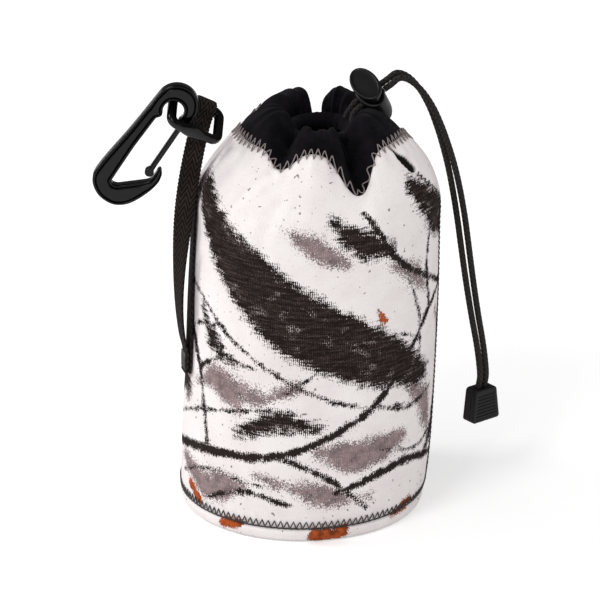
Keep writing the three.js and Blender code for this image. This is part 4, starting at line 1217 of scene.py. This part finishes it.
def webbing():
    """The webbing: a woven band with lanes, weft ribs and scalloped edges."""
    frames = webbing_line()
    points = np.array([tuple(p) for p, _ in frames])
    widths = np.array([tuple(w) for _, w in frames])
    fine = catmull(points, (len(points) - 1) * 12 + 1)
    fine_run = run_along(fine)
    at = np.arange(0, fine_run[-1], WEB_STEP)
    line = sampled(fine, fine_run, at)
    share = np.interp(at, fine_run, np.linspace(0, len(points) - 1, len(fine)))
    across = sampled(widths, np.arange(len(points)), share)
    tangent = unit(np.gradient(line, axis=0))
    across = unit(across - tangent * np.sum(across * tangent, axis=1, keepdims=True))
    face = np.cross(tangent, across)
    u = np.linspace(-1, 1, 29)
    sections, mapped = [], []
    for run, p, a, f in zip(at, line, across, face):
        side, top, low = webbing_section(run, u)
        ring = [p + a * (x * s) + f * y for x, s, y in zip(u, side, top)]
        ring += [p + a * (x * s) + f * y for x, s, y in zip(u[::-1], side[::-1], low[::-1])]
        sections.append(ring)
        mapped += [(x * WEB_WIDTH / 2, run, 0) for x in u] + [(x * WEB_WIDTH / 2, run, 1) for x in u[::-1]]
    rows, columns = np.shape(sections)[:2]
    faces = ring_faces(rows, columns, close_rows=False)
    piece = mesh_object("hanger_tape", np.reshape(sections, (-1, 3)), faces, "pouch")
    point_attribute(piece, "tape", mapped, "FLOAT_VECTOR")
    return stands_for(piece, "hanger_webbing")


def tack_thread(name, middle, height, passes):
    """One dense zigzag across the webbing, up the wall."""
    point, out, round_way = wall_place(ANCHOR_ANGLE, middle)
    base = point + out * (OUTER_LAYER + WEB_THICKNESS / 2 + 0.18)
    line = []
    for t in np.arange(passes * 8 + 1) / 8:
        across = float(saw(t / 2)) * TACK_HALF_WIDTH
        line.append(tuple(base + round_way * across + UP * (height * (float(t) / passes - 0.5))))
    return thread(name, even(line, 0.5), 0.28)


def bar_tack():
    """The two zigzags that hold both ends of the webbing to the wall."""
    lower = tack_thread("hanger_tack_thread", ANCHOR_HEIGHT - SEWN_LENGTH / 2, 6, 13)
    upper = tack_thread("hanger_lock_thread", ANCHOR_HEIGHT - 1.2, 1.6, 9)
    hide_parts("hanger_bar_tack")
    return lower, upper


def ring_line():
    """The middle of the ring's bars, as a closed round-cornered path in the ring's own frame."""
    near, far, half = RING_BEND, RING_LENGTH - RING_BAR - RING_BEND, RING_SPACING / 2 - RING_BEND
    quarter = math.pi / 2
    corners = [
        (x, y) + arc(RING_BEND, turn * quarter, (turn + 1) * quarter, 7)
        for turn, (x, y) in enumerate(((far, half), (near, half), (near, -half), (far, -half)))
    ]
    flat = spread(np.vstack(corners), 0.8)
    return np.column_stack([flat, np.zeros(len(flat))])


def ring_deepening(line):
    """How much deeper the ring's front bar bows than the others, along its middle."""
    t = np.linspace(0, 1, 60)
    first, last = RING_BEND, RING_LENGTH - RING_BAR - RING_BEND
    peak = first + 0.4 * (last - first)
    places = first * (1 - t) ** 2 + 2 * peak * t * (1 - t) + last * t**2
    leaf = np.interp(line[:, 0], places, 4 * t * (1 - t) * (RING_FRONT_DEPTH - 0.7) * 0.5 + 0.35) * 2
    on_front_bar = line[:, 1] < -RING_SPACING / 2 + 0.6
    deepen = np.where(on_front_bar, np.maximum(leaf / RING_THICKNESS, 1), 1)
    return (np.roll(deepen, 1) + deepen + np.roll(deepen, -1)) / 3


def webbing_ring():
    """The ring: a squarish section led round the bars, deeper on the front one."""
    line = ring_line()
    out = np.cross(unit(np.roll(line, -1, axis=0) - np.roll(line, 1, axis=0)), UP)
    angles = round_angles(RING_SIDES)
    c, s = np.cos(angles), np.sin(angles)
    x = np.sign(c) * np.abs(c) ** (2 / RING_SQUARENESS) * RING_BAR / 2
    z = np.sign(s) * np.abs(s) ** (2 / RING_SQUARENESS) * RING_THICKNESS / 2
    height = z[None, :] * ring_deepening(line)[:, None]
    sections = line[:, None] + out[:, None] * x[None, :, None] + np.array(UP) * height[..., None]
    frame_ring = frame_matrix(RING_REACH, RING_ACROSS, RING_UP, RING_PIVOT)
    piece = rigid_piece("hanger_ring", drawn_out(sections, frame_ring, closed=True), "ring")
    return stands_for(piece, "webbing_ring")


# The snap hook, drawn flat in its own frame: down its length, across towards the gate, and through

HOOK_LENGTH = 56
HOOK_THICKNESS = 5
HOOK_HEAD_RADIUS = 9.7
HOOK_POCKET_RADIUS = 4.8
HOOK_POCKET = np.array([3.2, 0.5])
HOOK_TILT = math.radians(-128.6)
HOOK_DOWN = Vector((math.cos(HOOK_TILT), 0, math.sin(HOOK_TILT)))
HOOK_SIDE = Vector((-math.sin(HOOK_TILT), 0, math.cos(HOOK_TILT)))
HOOK_THROUGH = HOOK_DOWN.cross(HOOK_SIDE)
POCKET_FROM_PIVOT = Vector((0.5, 0, -0.9))
HOOK_HEAD = RING_PIVOT + POCKET_FROM_PIVOT - HOOK_DOWN * HOOK_POCKET[0] - HOOK_SIDE * HOOK_POCKET[1]
HOOK_FRAME = frame_matrix(HOOK_DOWN, HOOK_SIDE, HOOK_THROUGH, HOOK_HEAD)
GATE_ROOT = np.array([4.6, 7.5])
GATE_EAR = 2.5
GATE_KNUCKLE = 1.8
GATE_ROLL = 2.1
GATE_BLADE = 1.15
GATE_THICKNESS = 4
GATE_ROOT_SHARE = 0.75
PIN_RADIUS = 0.8
PIN_LENGTH = 4.7
PIN_BORE_RADIUS = 1.05
GATE_TIP = np.array([0.59, 0.181]) * HOOK_LENGTH
HOOK_SHARES = {
    "outer": [(0.38, -0.168), (0.79, -0.174), (0.92, -0.137), (0.99, -0.03), (0.993, 0.085), (0.955, 0.165),
              (0.873, 0.23), (0.727, 0.278), (0.611, 0.29), (0.53, 0.268)],
    "inner": [(0.505, 0.235), (0.525, 0.218), (0.575, 0.228), (0.64, 0.226), (0.662, 0.208), (0.75, 0.124),
              (0.83, 0.047), (0.845, 0.012), (0.835, -0.014), (0.48, -0.05)],
}
HOOK_LIP = [(-30, 1.7), (-26, 1.4), (-31, 1.09), (-44, 1.02)]


def uniform_spline(points, per):
    """Even-weighted spline through points, as a shape's spline is drawn."""
    p = np.vstack([points[:1], points, points[-1:]])
    out = []
    for i in range(len(points) - 1):
        a, b, c, d = p[i:i + 4]
        for t in np.arange(per) / per:
            v0, v1 = (c - a) / 2, (d - b) / 2
            out.append((2 * b - 2 * c + v0 + v1) * t**3 + (-3 * b + 3 * c - 2 * v0 - v1) * t**2 + v0 * t + b)
    out.append(points[-1])
    return np.array(out)


def arc(radius, first, last, count):
    """Points on part of a circle."""
    t = np.linspace(first, last, count)
    return np.stack([radius * np.cos(t), radius * np.sin(t)], axis=1)


def hook_outline():
    """The hook's outline: the gate's ear, head, back, inner side, lip and the ring's pocket."""
    ear_way = math.atan2(GATE_ROOT[1], GATE_ROOT[0])
    ear = GATE_ROOT + arc(GATE_EAR, ear_way - 0.6 * math.pi, ear_way + 0.3 * math.pi, 24)
    head = arc(HOOK_HEAD_RADIUS, ear_way + 0.12 * math.pi, 1.5 * math.pi, 40)
    outer = np.array(HOOK_SHARES["outer"]) * HOOK_LENGTH
    back = uniform_spline(np.vstack([head[-1:], outer]), 8)
    inner = np.array(HOOK_SHARES["inner"]) * HOOK_LENGTH
    lip = np.array([arc(HOOK_POCKET_RADIUS * share, math.radians(turn), 0, 1)[0] for turn, share in HOOK_LIP])
    root_way = GATE_ROOT - HOOK_POCKET
    last = math.atan2(root_way[1], root_way[0]) - 0.1 * math.pi - TAU
    pocket = arc(HOOK_POCKET_RADIUS, math.radians(HOOK_LIP[-1][0]), last, 40)
    return np.vstack([ear, head, back[1:], inner, HOOK_POCKET + lip, HOOK_POCKET + pocket])


def spread(outline, step):
    """The closed outline with points a set distance apart, so that it can be drawn in evenly."""
    return even(np.vstack([outline, outline[:1]]), step)[:-1]


def soften(outline, rounds):
    """Rounds the corners of a closed outline a little."""
    for _ in range(rounds):
        outline = (np.roll(outline, 1, axis=0) + 2 * outline + np.roll(outline, -1, axis=0)) / 4
    return outline


def inward_normals(outline):
    along = unit(np.roll(outline, -1, axis=0) - np.roll(outline, 1, axis=0))
    area = np.sum(outline[:, 0] * np.roll(outline[:, 1], -1) - np.roll(outline[:, 0], -1) * outline[:, 1])
    return (1 if area > 0 else -1) * np.stack([-along[:, 1], along[:, 0]], axis=1)


def rounding_room(outline, rounding):
    """How far each point may move in: less where the body is narrow or turns sharply."""
    normal = inward_normals(outline)
    away = outline[None] - outline[:, None]
    depth = (away * normal[:, None]).sum(axis=2)
    with np.errstate(divide="ignore", invalid="ignore"):
        ball = np.where(depth > 1e-3, (away**2).sum(axis=2) / (2 * depth), np.inf)
    room = np.minimum(rounding, 0.72 * ball.min(axis=1))
    for _ in range(6):
        room = np.minimum(room, (np.roll(room, 1) + room + np.roll(room, -1)) / 3)
    return room, normal


# The groove along a flat body's edges: its depth, and how far in from the outline, both as shares
EDGE_GROOVE = [
    (0, 0.42), (0.1, 0.46), (0.92, 0.59), (1, 0.63), (0.9, 0.69), (0.2, 0.82), (0.06, 0.88), (0, 1),
]


def flat_body(outline, thickness, rounding, matrix, taper=None, groove=0.0):
    """A flat body with rounded edges, and with a groove of the given depth along both faces' edges."""
    half = thickness / 2
    rim = rounding * (2.9 if groove else 1)
    room, normal = rounding_room(outline, rim)
    levels = [
        (half - rounding * (1 - math.sin(t)), rounding / rim * (1 - math.cos(t)))
        for t in np.linspace(0, math.pi / 2, 6)]
    if groove:
        levels += [(half - depth * groove, share) for depth, share in EDGE_GROOVE]
    sections = []
    for z, share in [(-z, share) for z, share in reversed(levels)] + levels:
        ring = outline + normal * (room * share)[:, None]
        scale = np.ones(len(ring)) if taper is None else taper(ring)
        sections.append(np.column_stack([ring, z * scale]))
    return drawn_out(sections, matrix)


def hook_rod(radius, half_length, **shape):
    """A rod through the hook at the gate's root, along its turning axis."""
    return rod(radius, -half_length, half_length, HOOK_FRAME, centre=tuple(GATE_ROOT), **shape)


def snap_hook():
    """The hook's body, forked for the gate, and the pin across the fork."""
    outline = soften(spread(hook_outline(), 0.5), 3)
    body = flat_body(outline, HOOK_THICKNESS, 0.8, HOOK_FRAME, groove=0.75)
    piece = rigid_piece("snap_hook_frame", body, "hook")
    half_fork, room = GATE_THICKNESS * GATE_ROOT_SHARE / 2 + SEAT_GAP, GATE_KNUCKLE + SEAT_GAP
    knuckle = hook_rod(room, half_fork, sides=32)
    way = block(
        (GATE_ROOT[0], GATE_ROOT[1] - room, -half_fork),
        (GATE_ROOT[0] + 6, GATE_ROOT[1] + room, half_fork), HOOK_FRAME)
    carve(piece, [knuckle, way, hook_rod(PIN_BORE_RADIUS, 8)])
    smooth_by_angle(piece, 40)
    pin = rigid_piece("snap_hook_pivot", hook_rod(PIN_RADIUS, PIN_LENGTH / 2, chamfer=0.2), "hook")
    stands_for(piece, "snap_hook_body")
    stands_for(pin, "snap_hook_gate_pin")
    return piece, pin


def gate_half_width(place, length):
    """Half the gate's width at a place along it: a round root, a thin blade and a rolled end."""
    root = math.sqrt(max(GATE_KNUCKLE**2 - place**2, 0))
    tip = math.sqrt(max(GATE_ROLL**2 - (place - length) ** 2, 0))
    blade = GATE_BLADE if 0 <= place <= length else 0
    return max(root, tip, blade, 0.02)


def hook_gate():
    """The gate: a springy tongue, thicker at its rolled end."""
    along = GATE_TIP - GATE_ROOT
    length = float(np.linalg.norm(along))
    along = along / length
    side = np.array([-along[1], along[0]])
    places = np.concatenate([
        np.linspace(-GATE_KNUCKLE, 3, 16),
        np.linspace(3.5, length - 3.5, 30),
        np.linspace(length - 3, length + GATE_ROLL, 20),
    ])
    middle = GATE_ROOT + places[:, None] * along
    half = np.array([gate_half_width(place, length) for place in places])[:, None] * side
    outline = soften(spread(np.vstack([middle + half, (middle - half)[::-1]]), 0.35), 2)

    def taper(ring):
        thicker = smoothstep((ring - GATE_ROOT) @ along, length - 6, length - 1.5)
        return GATE_ROOT_SHARE + (1 - GATE_ROOT_SHARE) * thicker

    body = flat_body(outline, GATE_THICKNESS, 0.7, HOOK_FRAME, taper)
    piece = rigid_piece("snap_hook_tongue", body, "gate")
    carve(piece, [hook_rod(PIN_BORE_RADIUS, 6)])
    smooth_by_angle(piece, 40)
    return stands_for(piece, "snap_hook_gate")


# Materials

def linear(r, g, b):
    """A colour given as it looks on screen, 0 to 255, in the shader's own terms."""
    out = []
    for c in (r, g, b):
        c = c / 255
        out.append(c / 12.92 if c <= 0.04045 else ((c + 0.055) / 1.055) ** 2.4)
    return (*out, 1)


class Look:
    """Builds one material out of named nodes."""

    def __init__(self, name):
        self.material = bpy.data.materials.new(name)
        self.material.use_nodes = True
        self.nodes = self.material.node_tree.nodes
        self.links = self.material.node_tree.links
        self.nodes.clear()
        self.out = self.nodes.new("ShaderNodeOutputMaterial")
        self.shader = self.nodes.new("ShaderNodeBsdfPrincipled")
        self.links.new(self.shader.outputs[0], self.out.inputs[0])

    def set(self, **sockets):
        for name, value in sockets.items():
            self.give(self.shader.inputs[name.replace("_", " ")], value)

    def give(self, socket, value):
        if hasattr(value, "links"):
            self.links.new(value, socket)
        else:
            socket.default_value = value

    def add(self, kind, out=0, settings=None, **sockets):
        made = self.nodes.new(kind)
        for name, value in (settings or {}).items():
            setattr(made, name, value)
        for name, value in sockets.items():
            self.give(made.inputs[int(name[1:]) if name[1:].isdigit() else name], value)
        return made.outputs[out]

    def math(self, operation, a, b=0.0, c=0.0):
        return self.add("ShaderNodeMath", settings={"operation": operation}, i0=a, i1=b, i2=c)

    def plus(self, a, b):
        return self.math("ADD", a, b)

    def minus(self, a, b):
        return self.math("SUBTRACT", a, b)

    def times(self, a, b):
        return self.math("MULTIPLY", a, b)

    def value(self, name):
        return self.add("ShaderNodeAttribute", 2, {"attribute_name": name})

    def vector(self, name):
        return self.add("ShaderNodeAttribute", 1, {"attribute_name": name})

    def split(self, name):
        """The parts of a vector stored at the piece's points."""
        parts = self.nodes.new("ShaderNodeSeparateXYZ")
        self.links.new(self.vector(name), parts.inputs[0])
        return parts.outputs

    def place(self):
        return self.add("ShaderNodeTexCoord", 3)

    def cloth(self):
        return self.add("ShaderNodeUVMap", settings={"uv_map": "cloth"})

    def scaled(self, vector, x, y, z, turn=0.0):
        return self.add("ShaderNodeMapping", Vector=vector, Scale=(x, y, z), Rotation=(0, 0, turn))

    def noise(self, vector, scale, detail=2.0, roughness=0.5):
        return self.add(
            "ShaderNodeTexNoise", 0, {"noise_dimensions": "3D"},
            Vector=vector, Scale=scale, Detail=detail, Roughness=roughness)

    def rows(self, vector, direction, scale, distortion, detail):
        """Fine parallel rows, such as the ribs of a knit."""
        return self.add(
            "ShaderNodeTexWave", 1, {"wave_type": "BANDS", "bands_direction": direction},
            Vector=vector, Scale=scale, Distortion=distortion, Detail=detail)

    def between(self, value, low, high, a=0.0, b=1.0):
        """Goes softly from a to b while the value goes from low to high."""
        return self.add(
            "ShaderNodeMapRange", 0, {"interpolation_type": "SMOOTHSTEP"},
            i0=value, i1=low, i2=high, i3=a, i4=b)

    def mix(self, share, a, b):
        made = self.nodes.new("ShaderNodeMix")
        made.data_type = "RGBA"
        self.give(made.inputs[0], share)
        self.give(made.inputs[6], a)
        self.give(made.inputs[7], b)
        return made.outputs[2]

    def shade(self, value, low, high, first, second):
        """Goes softly from one colour to another while the value goes from low to high."""
        return self.mix(self.between(value, low, high), first, second)

    def bump(self, height, strength, distance, under=None):
        made = self.nodes.new("ShaderNodeBump")
        made.inputs["Strength"].default_value = strength
        made.inputs["Distance"].default_value = distance
        self.give(made.inputs["Height"], height)
        if under is not None:
            self.links.new(under, made.inputs["Normal"])
        return made.outputs[0]

    def on(self, *pieces):
        for piece in pieces:
            piece.data.materials.clear()
            piece.data.materials.append(self.material)
        return self


def printed_jersey():
    """Off-white jersey over foam, printed with dry-brushed marks; plain dark lining inside, and painted shade
    in the open end of the side seam.
    """
    look = Look("printed_jersey")
    place, cloth = look.place(), look.cloth()
    coarse = look.noise(place, 210, 3, 0.6)
    grain = look.noise(place, 950, 2, 0.7)
    speck = look.noise(place, 1900, 1, 0.6)
    streak = look.noise(look.scaled(cloth, 90, 900, 1, 0.6), 1, 3, 0.6)
    patch = look.noise(place, 46, 2, 0.5)
    wale = look.rows(cloth, "X", 360, 1.5, 1)
    course = look.rows(cloth, "Y", 480, 1.5, 1)

    def centred(noise_value, size):
        return look.times(look.minus(noise_value, 0.5), size)

    def ragged(name, parts, soft=0.35):
        """A kind of mark as paint with a ragged edge: its distance, shaken by several noises."""
        away = look.value(name)
        for noise_value, size in parts:
            away = look.plus(away, centred(noise_value, size))
        return look.between(away, -soft, soft, 1.0, 0.0)

    worn = look.plus(look.times(wale, 0.5), look.plus(centred(speck, 1.8), centred(streak, 1.2)))
    worn = look.between(worn, 0.3, 0.85)
    lane = look.between(look.noise(look.scaled(place, 1, 1, 1.6), 105, 2, 0.6), 0.54, 0.72)
    band = ragged("bands", ((coarse, 8), (streak, 10), (grain, 5), (wale, 2.6), (speck, 4)))
    twig = ragged("twigs", ((coarse, 4.5), (grain, 3.0), (wale, 0.9), (speck, 1.6)), 0.25)
    wash = look.plus(look.times(look.value("smudges"), -0.06), look.plus(centred(patch, 0.9), 0.12))
    dots = look.plus(look.times(grain, 0.55), look.times(speck, 0.55))
    smudge = look.between(look.minus(wash, look.minus(dots, 0.33)), -0.03, 0.05)
    leaf = ragged("leaves", ((coarse, 6), (grain, 4), (speck, 3)), 0.4)
    flick = look.between(look.plus(look.noise(place, 520, 1, 0.4), centred(patch, 0.25)), 0.735, 0.76)

    paper = look.shade(patch, 0.3, 0.75, linear(246, 240, 239), linear(238, 229, 229))
    paper = look.mix(look.times(worn, 0.16), paper, linear(176, 160, 158))
    mauve = look.shade(coarse, 0.35, 0.65, linear(128, 101, 101), linear(80, 58, 59))
    mauve = look.mix(look.times(worn, 0.45), mauve, linear(206, 188, 187))
    black = look.shade(streak, 0.4, 0.72, linear(28, 20, 18), linear(52, 42, 38))
    black = look.mix(look.times(worn, 0.4), black, linear(112, 96, 92))
    black = look.mix(look.times(worn, lane), black, linear(214, 203, 200))
    rust = look.shade(coarse, 0.35, 0.65, linear(178, 84, 38), linear(112, 52, 30))
    twig_black = look.mix(coarse, linear(24, 18, 17), linear(54, 44, 42))
    # Painted shade: the open end of the side seam is coloured near-black, standing in for the shadow inside
    # the pouch.
    hole = look.between(look.value("slit"), -0.9, 0.15, 1.0, 0.0)

    colour = look.mix(look.times(smudge, 0.88), paper, mauve)
    colour = look.mix(leaf, colour, rust)
    colour = look.mix(look.times(flick, 0.75), colour, linear(92, 76, 76))
    colour = look.mix(twig, colour, twig_black)
    colour = look.mix(band, colour, black)
    colour = look.mix(hole, colour, linear(22, 19, 20))
    colour = look.mix(look.value("lining"), colour, linear(58, 55, 58))
    knit = look.plus(look.plus(look.times(wale, 0.5), look.times(course, 0.35)), look.times(speck, 0.5))
    dents = look.bump(look.noise(place, 120, 3, 0.6), 0.3, 0.0012)
    look.set(
        Base_Color=look.mix(look.times(knit, 0.02), colour, linear(120, 110, 110)),
        Normal=look.bump(knit, 0.35, 0.0003, dents),
        Roughness=look.between(grain, 0.2, 0.8, 0.86, 0.97),
        Specular_IOR_Level=0.08)
    return look


def knit_look(name, dark, light):
    """Black jersey: fine ribs, a little fluff and a soft sheen."""
    look = Look(name)
    place = look.place()
    wale = look.rows(look.cloth(), "X", 300, 2.5, 2)
    fluff = look.noise(place, 1500, 2, 0.7)
    broad = look.noise(place, 120, 2, 0.5)
    height = look.plus(look.times(wale, 0.6), look.times(fluff, 0.7))
    look.set(
        Base_Color=look.shade(look.times(fluff, broad), 0.12, 0.42, dark, light),
        Normal=look.bump(height, 0.5, 0.0004),
        Roughness=look.between(fluff, 0.3, 0.7, 0.82, 0.97),
        Sheen_Weight=0.03, Sheen_Roughness=0.45, Specular_IOR_Level=0.12)
    return look


def thread_look(name, dark, light):
    """Spun thread: a fine twist that shades its colour."""
    look = Look(name)
    twist = look.noise(look.scaled(look.place(), 1, 1, 2.2), 2600, 1, 0.5)
    look.set(
        Base_Color=look.shade(twist, 0.35, 0.65, dark, light),
        Normal=look.bump(twist, 0.5, 0.0002),
        Roughness=look.between(twist, 0.3, 0.7, 0.6, 0.8),
        Sheen_Weight=0.25)
    return look


def cord_look():
    """Braided polyester: strands catch the light on their bumps and stay dark between."""
    look = Look("braided_cord")
    run, turn, _ = look.split("braid")
    fibre_pitch = 0.33
    round_it = look.math("COSINE", look.times(turn, TAU * BRAID_STRANDS))
    along = look.math("COSINE", look.times(run, TAU / BRAID_PITCH))
    bumps = look.math("MULTIPLY_ADD", look.times(round_it, along), 0.5, 0.5)
    fibres = look.math("SINE", look.times(run, TAU / fibre_pitch))
    fine = look.noise(look.place(), 2400, 2, 0.6)
    height = look.plus(bumps, look.math("MULTIPLY_ADD", fibres, 0.12, look.times(fine, 0.5)))
    # Painted highlight and shade: the colour follows the bumps' height, lighter on the strands' tops and
    # darker between them.
    look.set(
        Base_Color=look.shade(height, 0.25, 1.3, linear(9, 8, 8), linear(50, 46, 45)),
        Normal=look.bump(height, 0.5, 0.00025),
        Roughness=look.between(fine, 0.3, 0.7, 0.66, 0.88),
        Sheen_Weight=0.06, Specular_IOR_Level=0.3)
    return look


def tape_look():
    """Herringbone tape: lanes of slanting yarns that turn back at each lane's edge, with the yarns' ridges
    painted lighter as painted highlight and the hollows between them darker as painted shade.
    """
    look = Look("herringbone_tape")
    across, run, _ = look.split("tape")
    lane_width, yarn_slant, yarn_pitch = WEB_WIDTH / 4, 2.1, 3.1
    lane = look.math("PINGPONG", look.plus(across, 2 * WEB_WIDTH), lane_width)
    yarn = look.math("SINE", look.times(look.plus(run, look.times(lane, yarn_slant)), TAU / yarn_pitch))
    fuzz = look.noise(look.place(), 1900, 2, 0.7)
    height = look.plus(look.times(yarn, 0.5), look.times(fuzz, 0.6))
    worn = look.noise(look.place(), 90, 2, 0.6)
    light = look.shade(worn, 0.4, 0.7, linear(44, 37, 32), linear(58, 50, 44))
    # Painted highlight and shade: the colour follows the yarns' height, lighter on the ridges and darker
    # between them; the ridge colour also varies at random with wear.
    look.set(
        Base_Color=look.shade(height, -0.2, 0.8, linear(14, 11, 10), light),
        Normal=look.bump(height, 0.7, 0.0004),
        Roughness=look.between(fuzz, 0.3, 0.7, 0.7, 0.9),
        Sheen_Weight=0.02, Specular_IOR_Level=0.08)
    return look


def plastic_look(name, colour, low, high, grain_size, grain_depth):
    """Moulded nylon: fine spark grain, faint flow marks and rubbed places."""
    look = Look(name)
    place = look.place()
    spark = look.noise(place, grain_size, 2, 0.6)
    flow = look.noise(look.scaled(place, 60, 60, 220), 1, 3, 0.6)
    rub = look.between(look.noise(place, 260, 3, 0.7), 0.55, 0.75)
    rough = look.plus(look.times(spark, 0.4), look.times(flow, 0.6))
    look.set(
        Base_Color=look.mix(look.times(rub, 0.3), colour, linear(30, 29, 30)),
        Roughness=look.between(rough, 0.3, 0.7, low, high),
        Normal=look.bump(spark, 0.25, grain_depth),
        Specular_IOR_Level=0.34)
    return look


def steel_look():
    """Drawn steel: bright, with fine lines along the wire."""
    look = Look("drawn_steel")
    grain = look.noise(look.scaled(look.place(), 900, 900, 120), 1, 2, 0.6)
    look.set(
        Base_Color=look.shade(grain, 0.3, 0.7, linear(176, 176, 178), linear(206, 206, 208)),
        Metallic=1.0,
        Roughness=look.between(grain, 0.3, 0.7, 0.28, 0.42),
        Normal=look.bump(grain, 0.15, 0.0001))
    return look


# Stage

def floor():
    """A white floor that the camera sees a little brighter than it is lit."""
    made = bmesh.new()
    bmesh.ops.create_grid(made, x_segments=1, y_segments=1, size=6)
    mesh = bpy.data.meshes.new("floor")
    made.to_mesh(mesh)
    made.free()
    piece = placed_object("floor", mesh)
    look = Look("floor_white")
    seen = look.add("ShaderNodeLightPath")
    look.set(
        Base_Color=(0.88, 0.88, 0.88, 1), Roughness=0.9, Specular_IOR_Level=0.05,
        Emission_Color=(1, 1, 1, 1), Emission_Strength=look.times(seen, 0.32))
    look.on(piece)


def area_light(name, location, target, size, power):
    data = bpy.data.lights.new(name, "AREA")
    data.shape = "RECTANGLE"
    data.size, data.size_y = size
    data.energy = power
    lamp = placed_object(name, data)
    lamp.location = location
    lamp.rotation_euler = (Vector(target) - Vector(location)).to_track_quat("-Z", "Y").to_euler()


def room():
    """The world: it lights softly, looks darker in reflections and is seen white."""
    world = bpy.data.worlds.new("studio")
    bpy.context.scene.world = world
    world.use_nodes = True
    nodes, links = world.node_tree.nodes, world.node_tree.links
    behind = nodes["Background"]
    behind.inputs[1].default_value = 1
    path = nodes.new("ShaderNodeLightPath")
    both = nodes.new("ShaderNodeMath")
    both.operation, both.use_clamp = "ADD", True
    links.new(path.outputs["Is Camera Ray"], both.inputs[0])
    links.new(path.outputs["Is Transmission Ray"], both.inputs[1])
    tint = nodes.new("ShaderNodeMix")
    tint.data_type = "RGBA"
    links.new(both.outputs[0], tint.inputs[0])
    tint.inputs[7].default_value = (1, 1, 1, 1)
    dim = nodes.new("ShaderNodeMix")
    dim.data_type = "RGBA"
    links.new(path.outputs["Is Glossy Ray"], dim.inputs[0])
    dim.inputs[6].default_value = (0.6, 0.6, 0.6, 1)
    dim.inputs[7].default_value = (0.12, 0.12, 0.12, 1)
    links.new(dim.outputs[2], tint.inputs[6])
    links.new(tint.outputs[2], behind.inputs[0])


def lights():
    """An even room with three lamps that model the form."""
    room()
    area_light("key", (-1.0, -1.5, 1.6), (0, 0, 0.1), (0.9, 0.9), 17)
    area_light("fill", (1.6, -1.0, 0.7), (0, 0, 0.1), (1.0, 1.0), 4)
    area_light("edge", (-1.5, 0.2, 0.85), (-0.05, 0, 0.15), (0.5, 0.6), 9)
    bpy.context.scene.view_settings.view_transform = "Standard"


# Making everything

rear_tail, rear_line = cord_piece("drawcord_end_rear", tail_route(-1), "drawcord_tail_rear")
front_tail, front_line = cord_piece("drawcord_end_front", tail_route(1), "drawcord_tail_front")
held_cord, _ = cord_piece("drawcord_in_hem", loop_route(), "drawcord_loop")
knot = cord_knot()
shell = cord_end_half("cord_end_back", "cord_end_shell", "pouch", SEAT_GAP / 2, CORD_END_SHELL, False)
cover = cord_end_half(
    "cord_end_ribbed_front", "cord_end_cover", "cord_end_lid", SEAT_GAP / 2, CORD_END_COVER, True)
wall = wall_panel()
base = base_panel()
collar_piece = collar()
overlock, base_seam = base_sewing()
collar_seam = collar_sewing()
side_seam = side_sewing()
barrel = lock_barrel()
button = lock_plunger()
coil = lock_spring()
tape = webbing()
tacks = bar_tack()
ring_piece = webbing_ring()
hook, pivot = snap_hook()
tongue = hook_gate()

printed_jersey().on(wall, base)
knit_look("collar_jersey", linear(3, 2, 5), linear(22, 18, 26)).on(collar_piece)
thread_look("black_thread", linear(24, 20, 20), linear(52, 46, 45)).on(overlock, base_seam, side_seam)
thread_look("taupe_thread", linear(112, 100, 98), linear(150, 138, 134)).on(collar_seam)
cord_look().on(rear_tail, front_tail, held_cord, knot)
tape_look().on(tape)
thread_look("tack_thread", linear(26, 22, 20), linear(58, 50, 46)).on(*tacks)
plastic_look("hook_nylon", linear(3, 3, 4), 0.12, 0.24, 1500, 0.00005).on(ring_piece, hook, tongue)
plastic_look("lock_nylon", linear(14, 14, 15), 0.34, 0.5, 1900, 0.00008).on(barrel, button, shell, cover)
steel_look().on(pivot, coil)
floor()
lights()
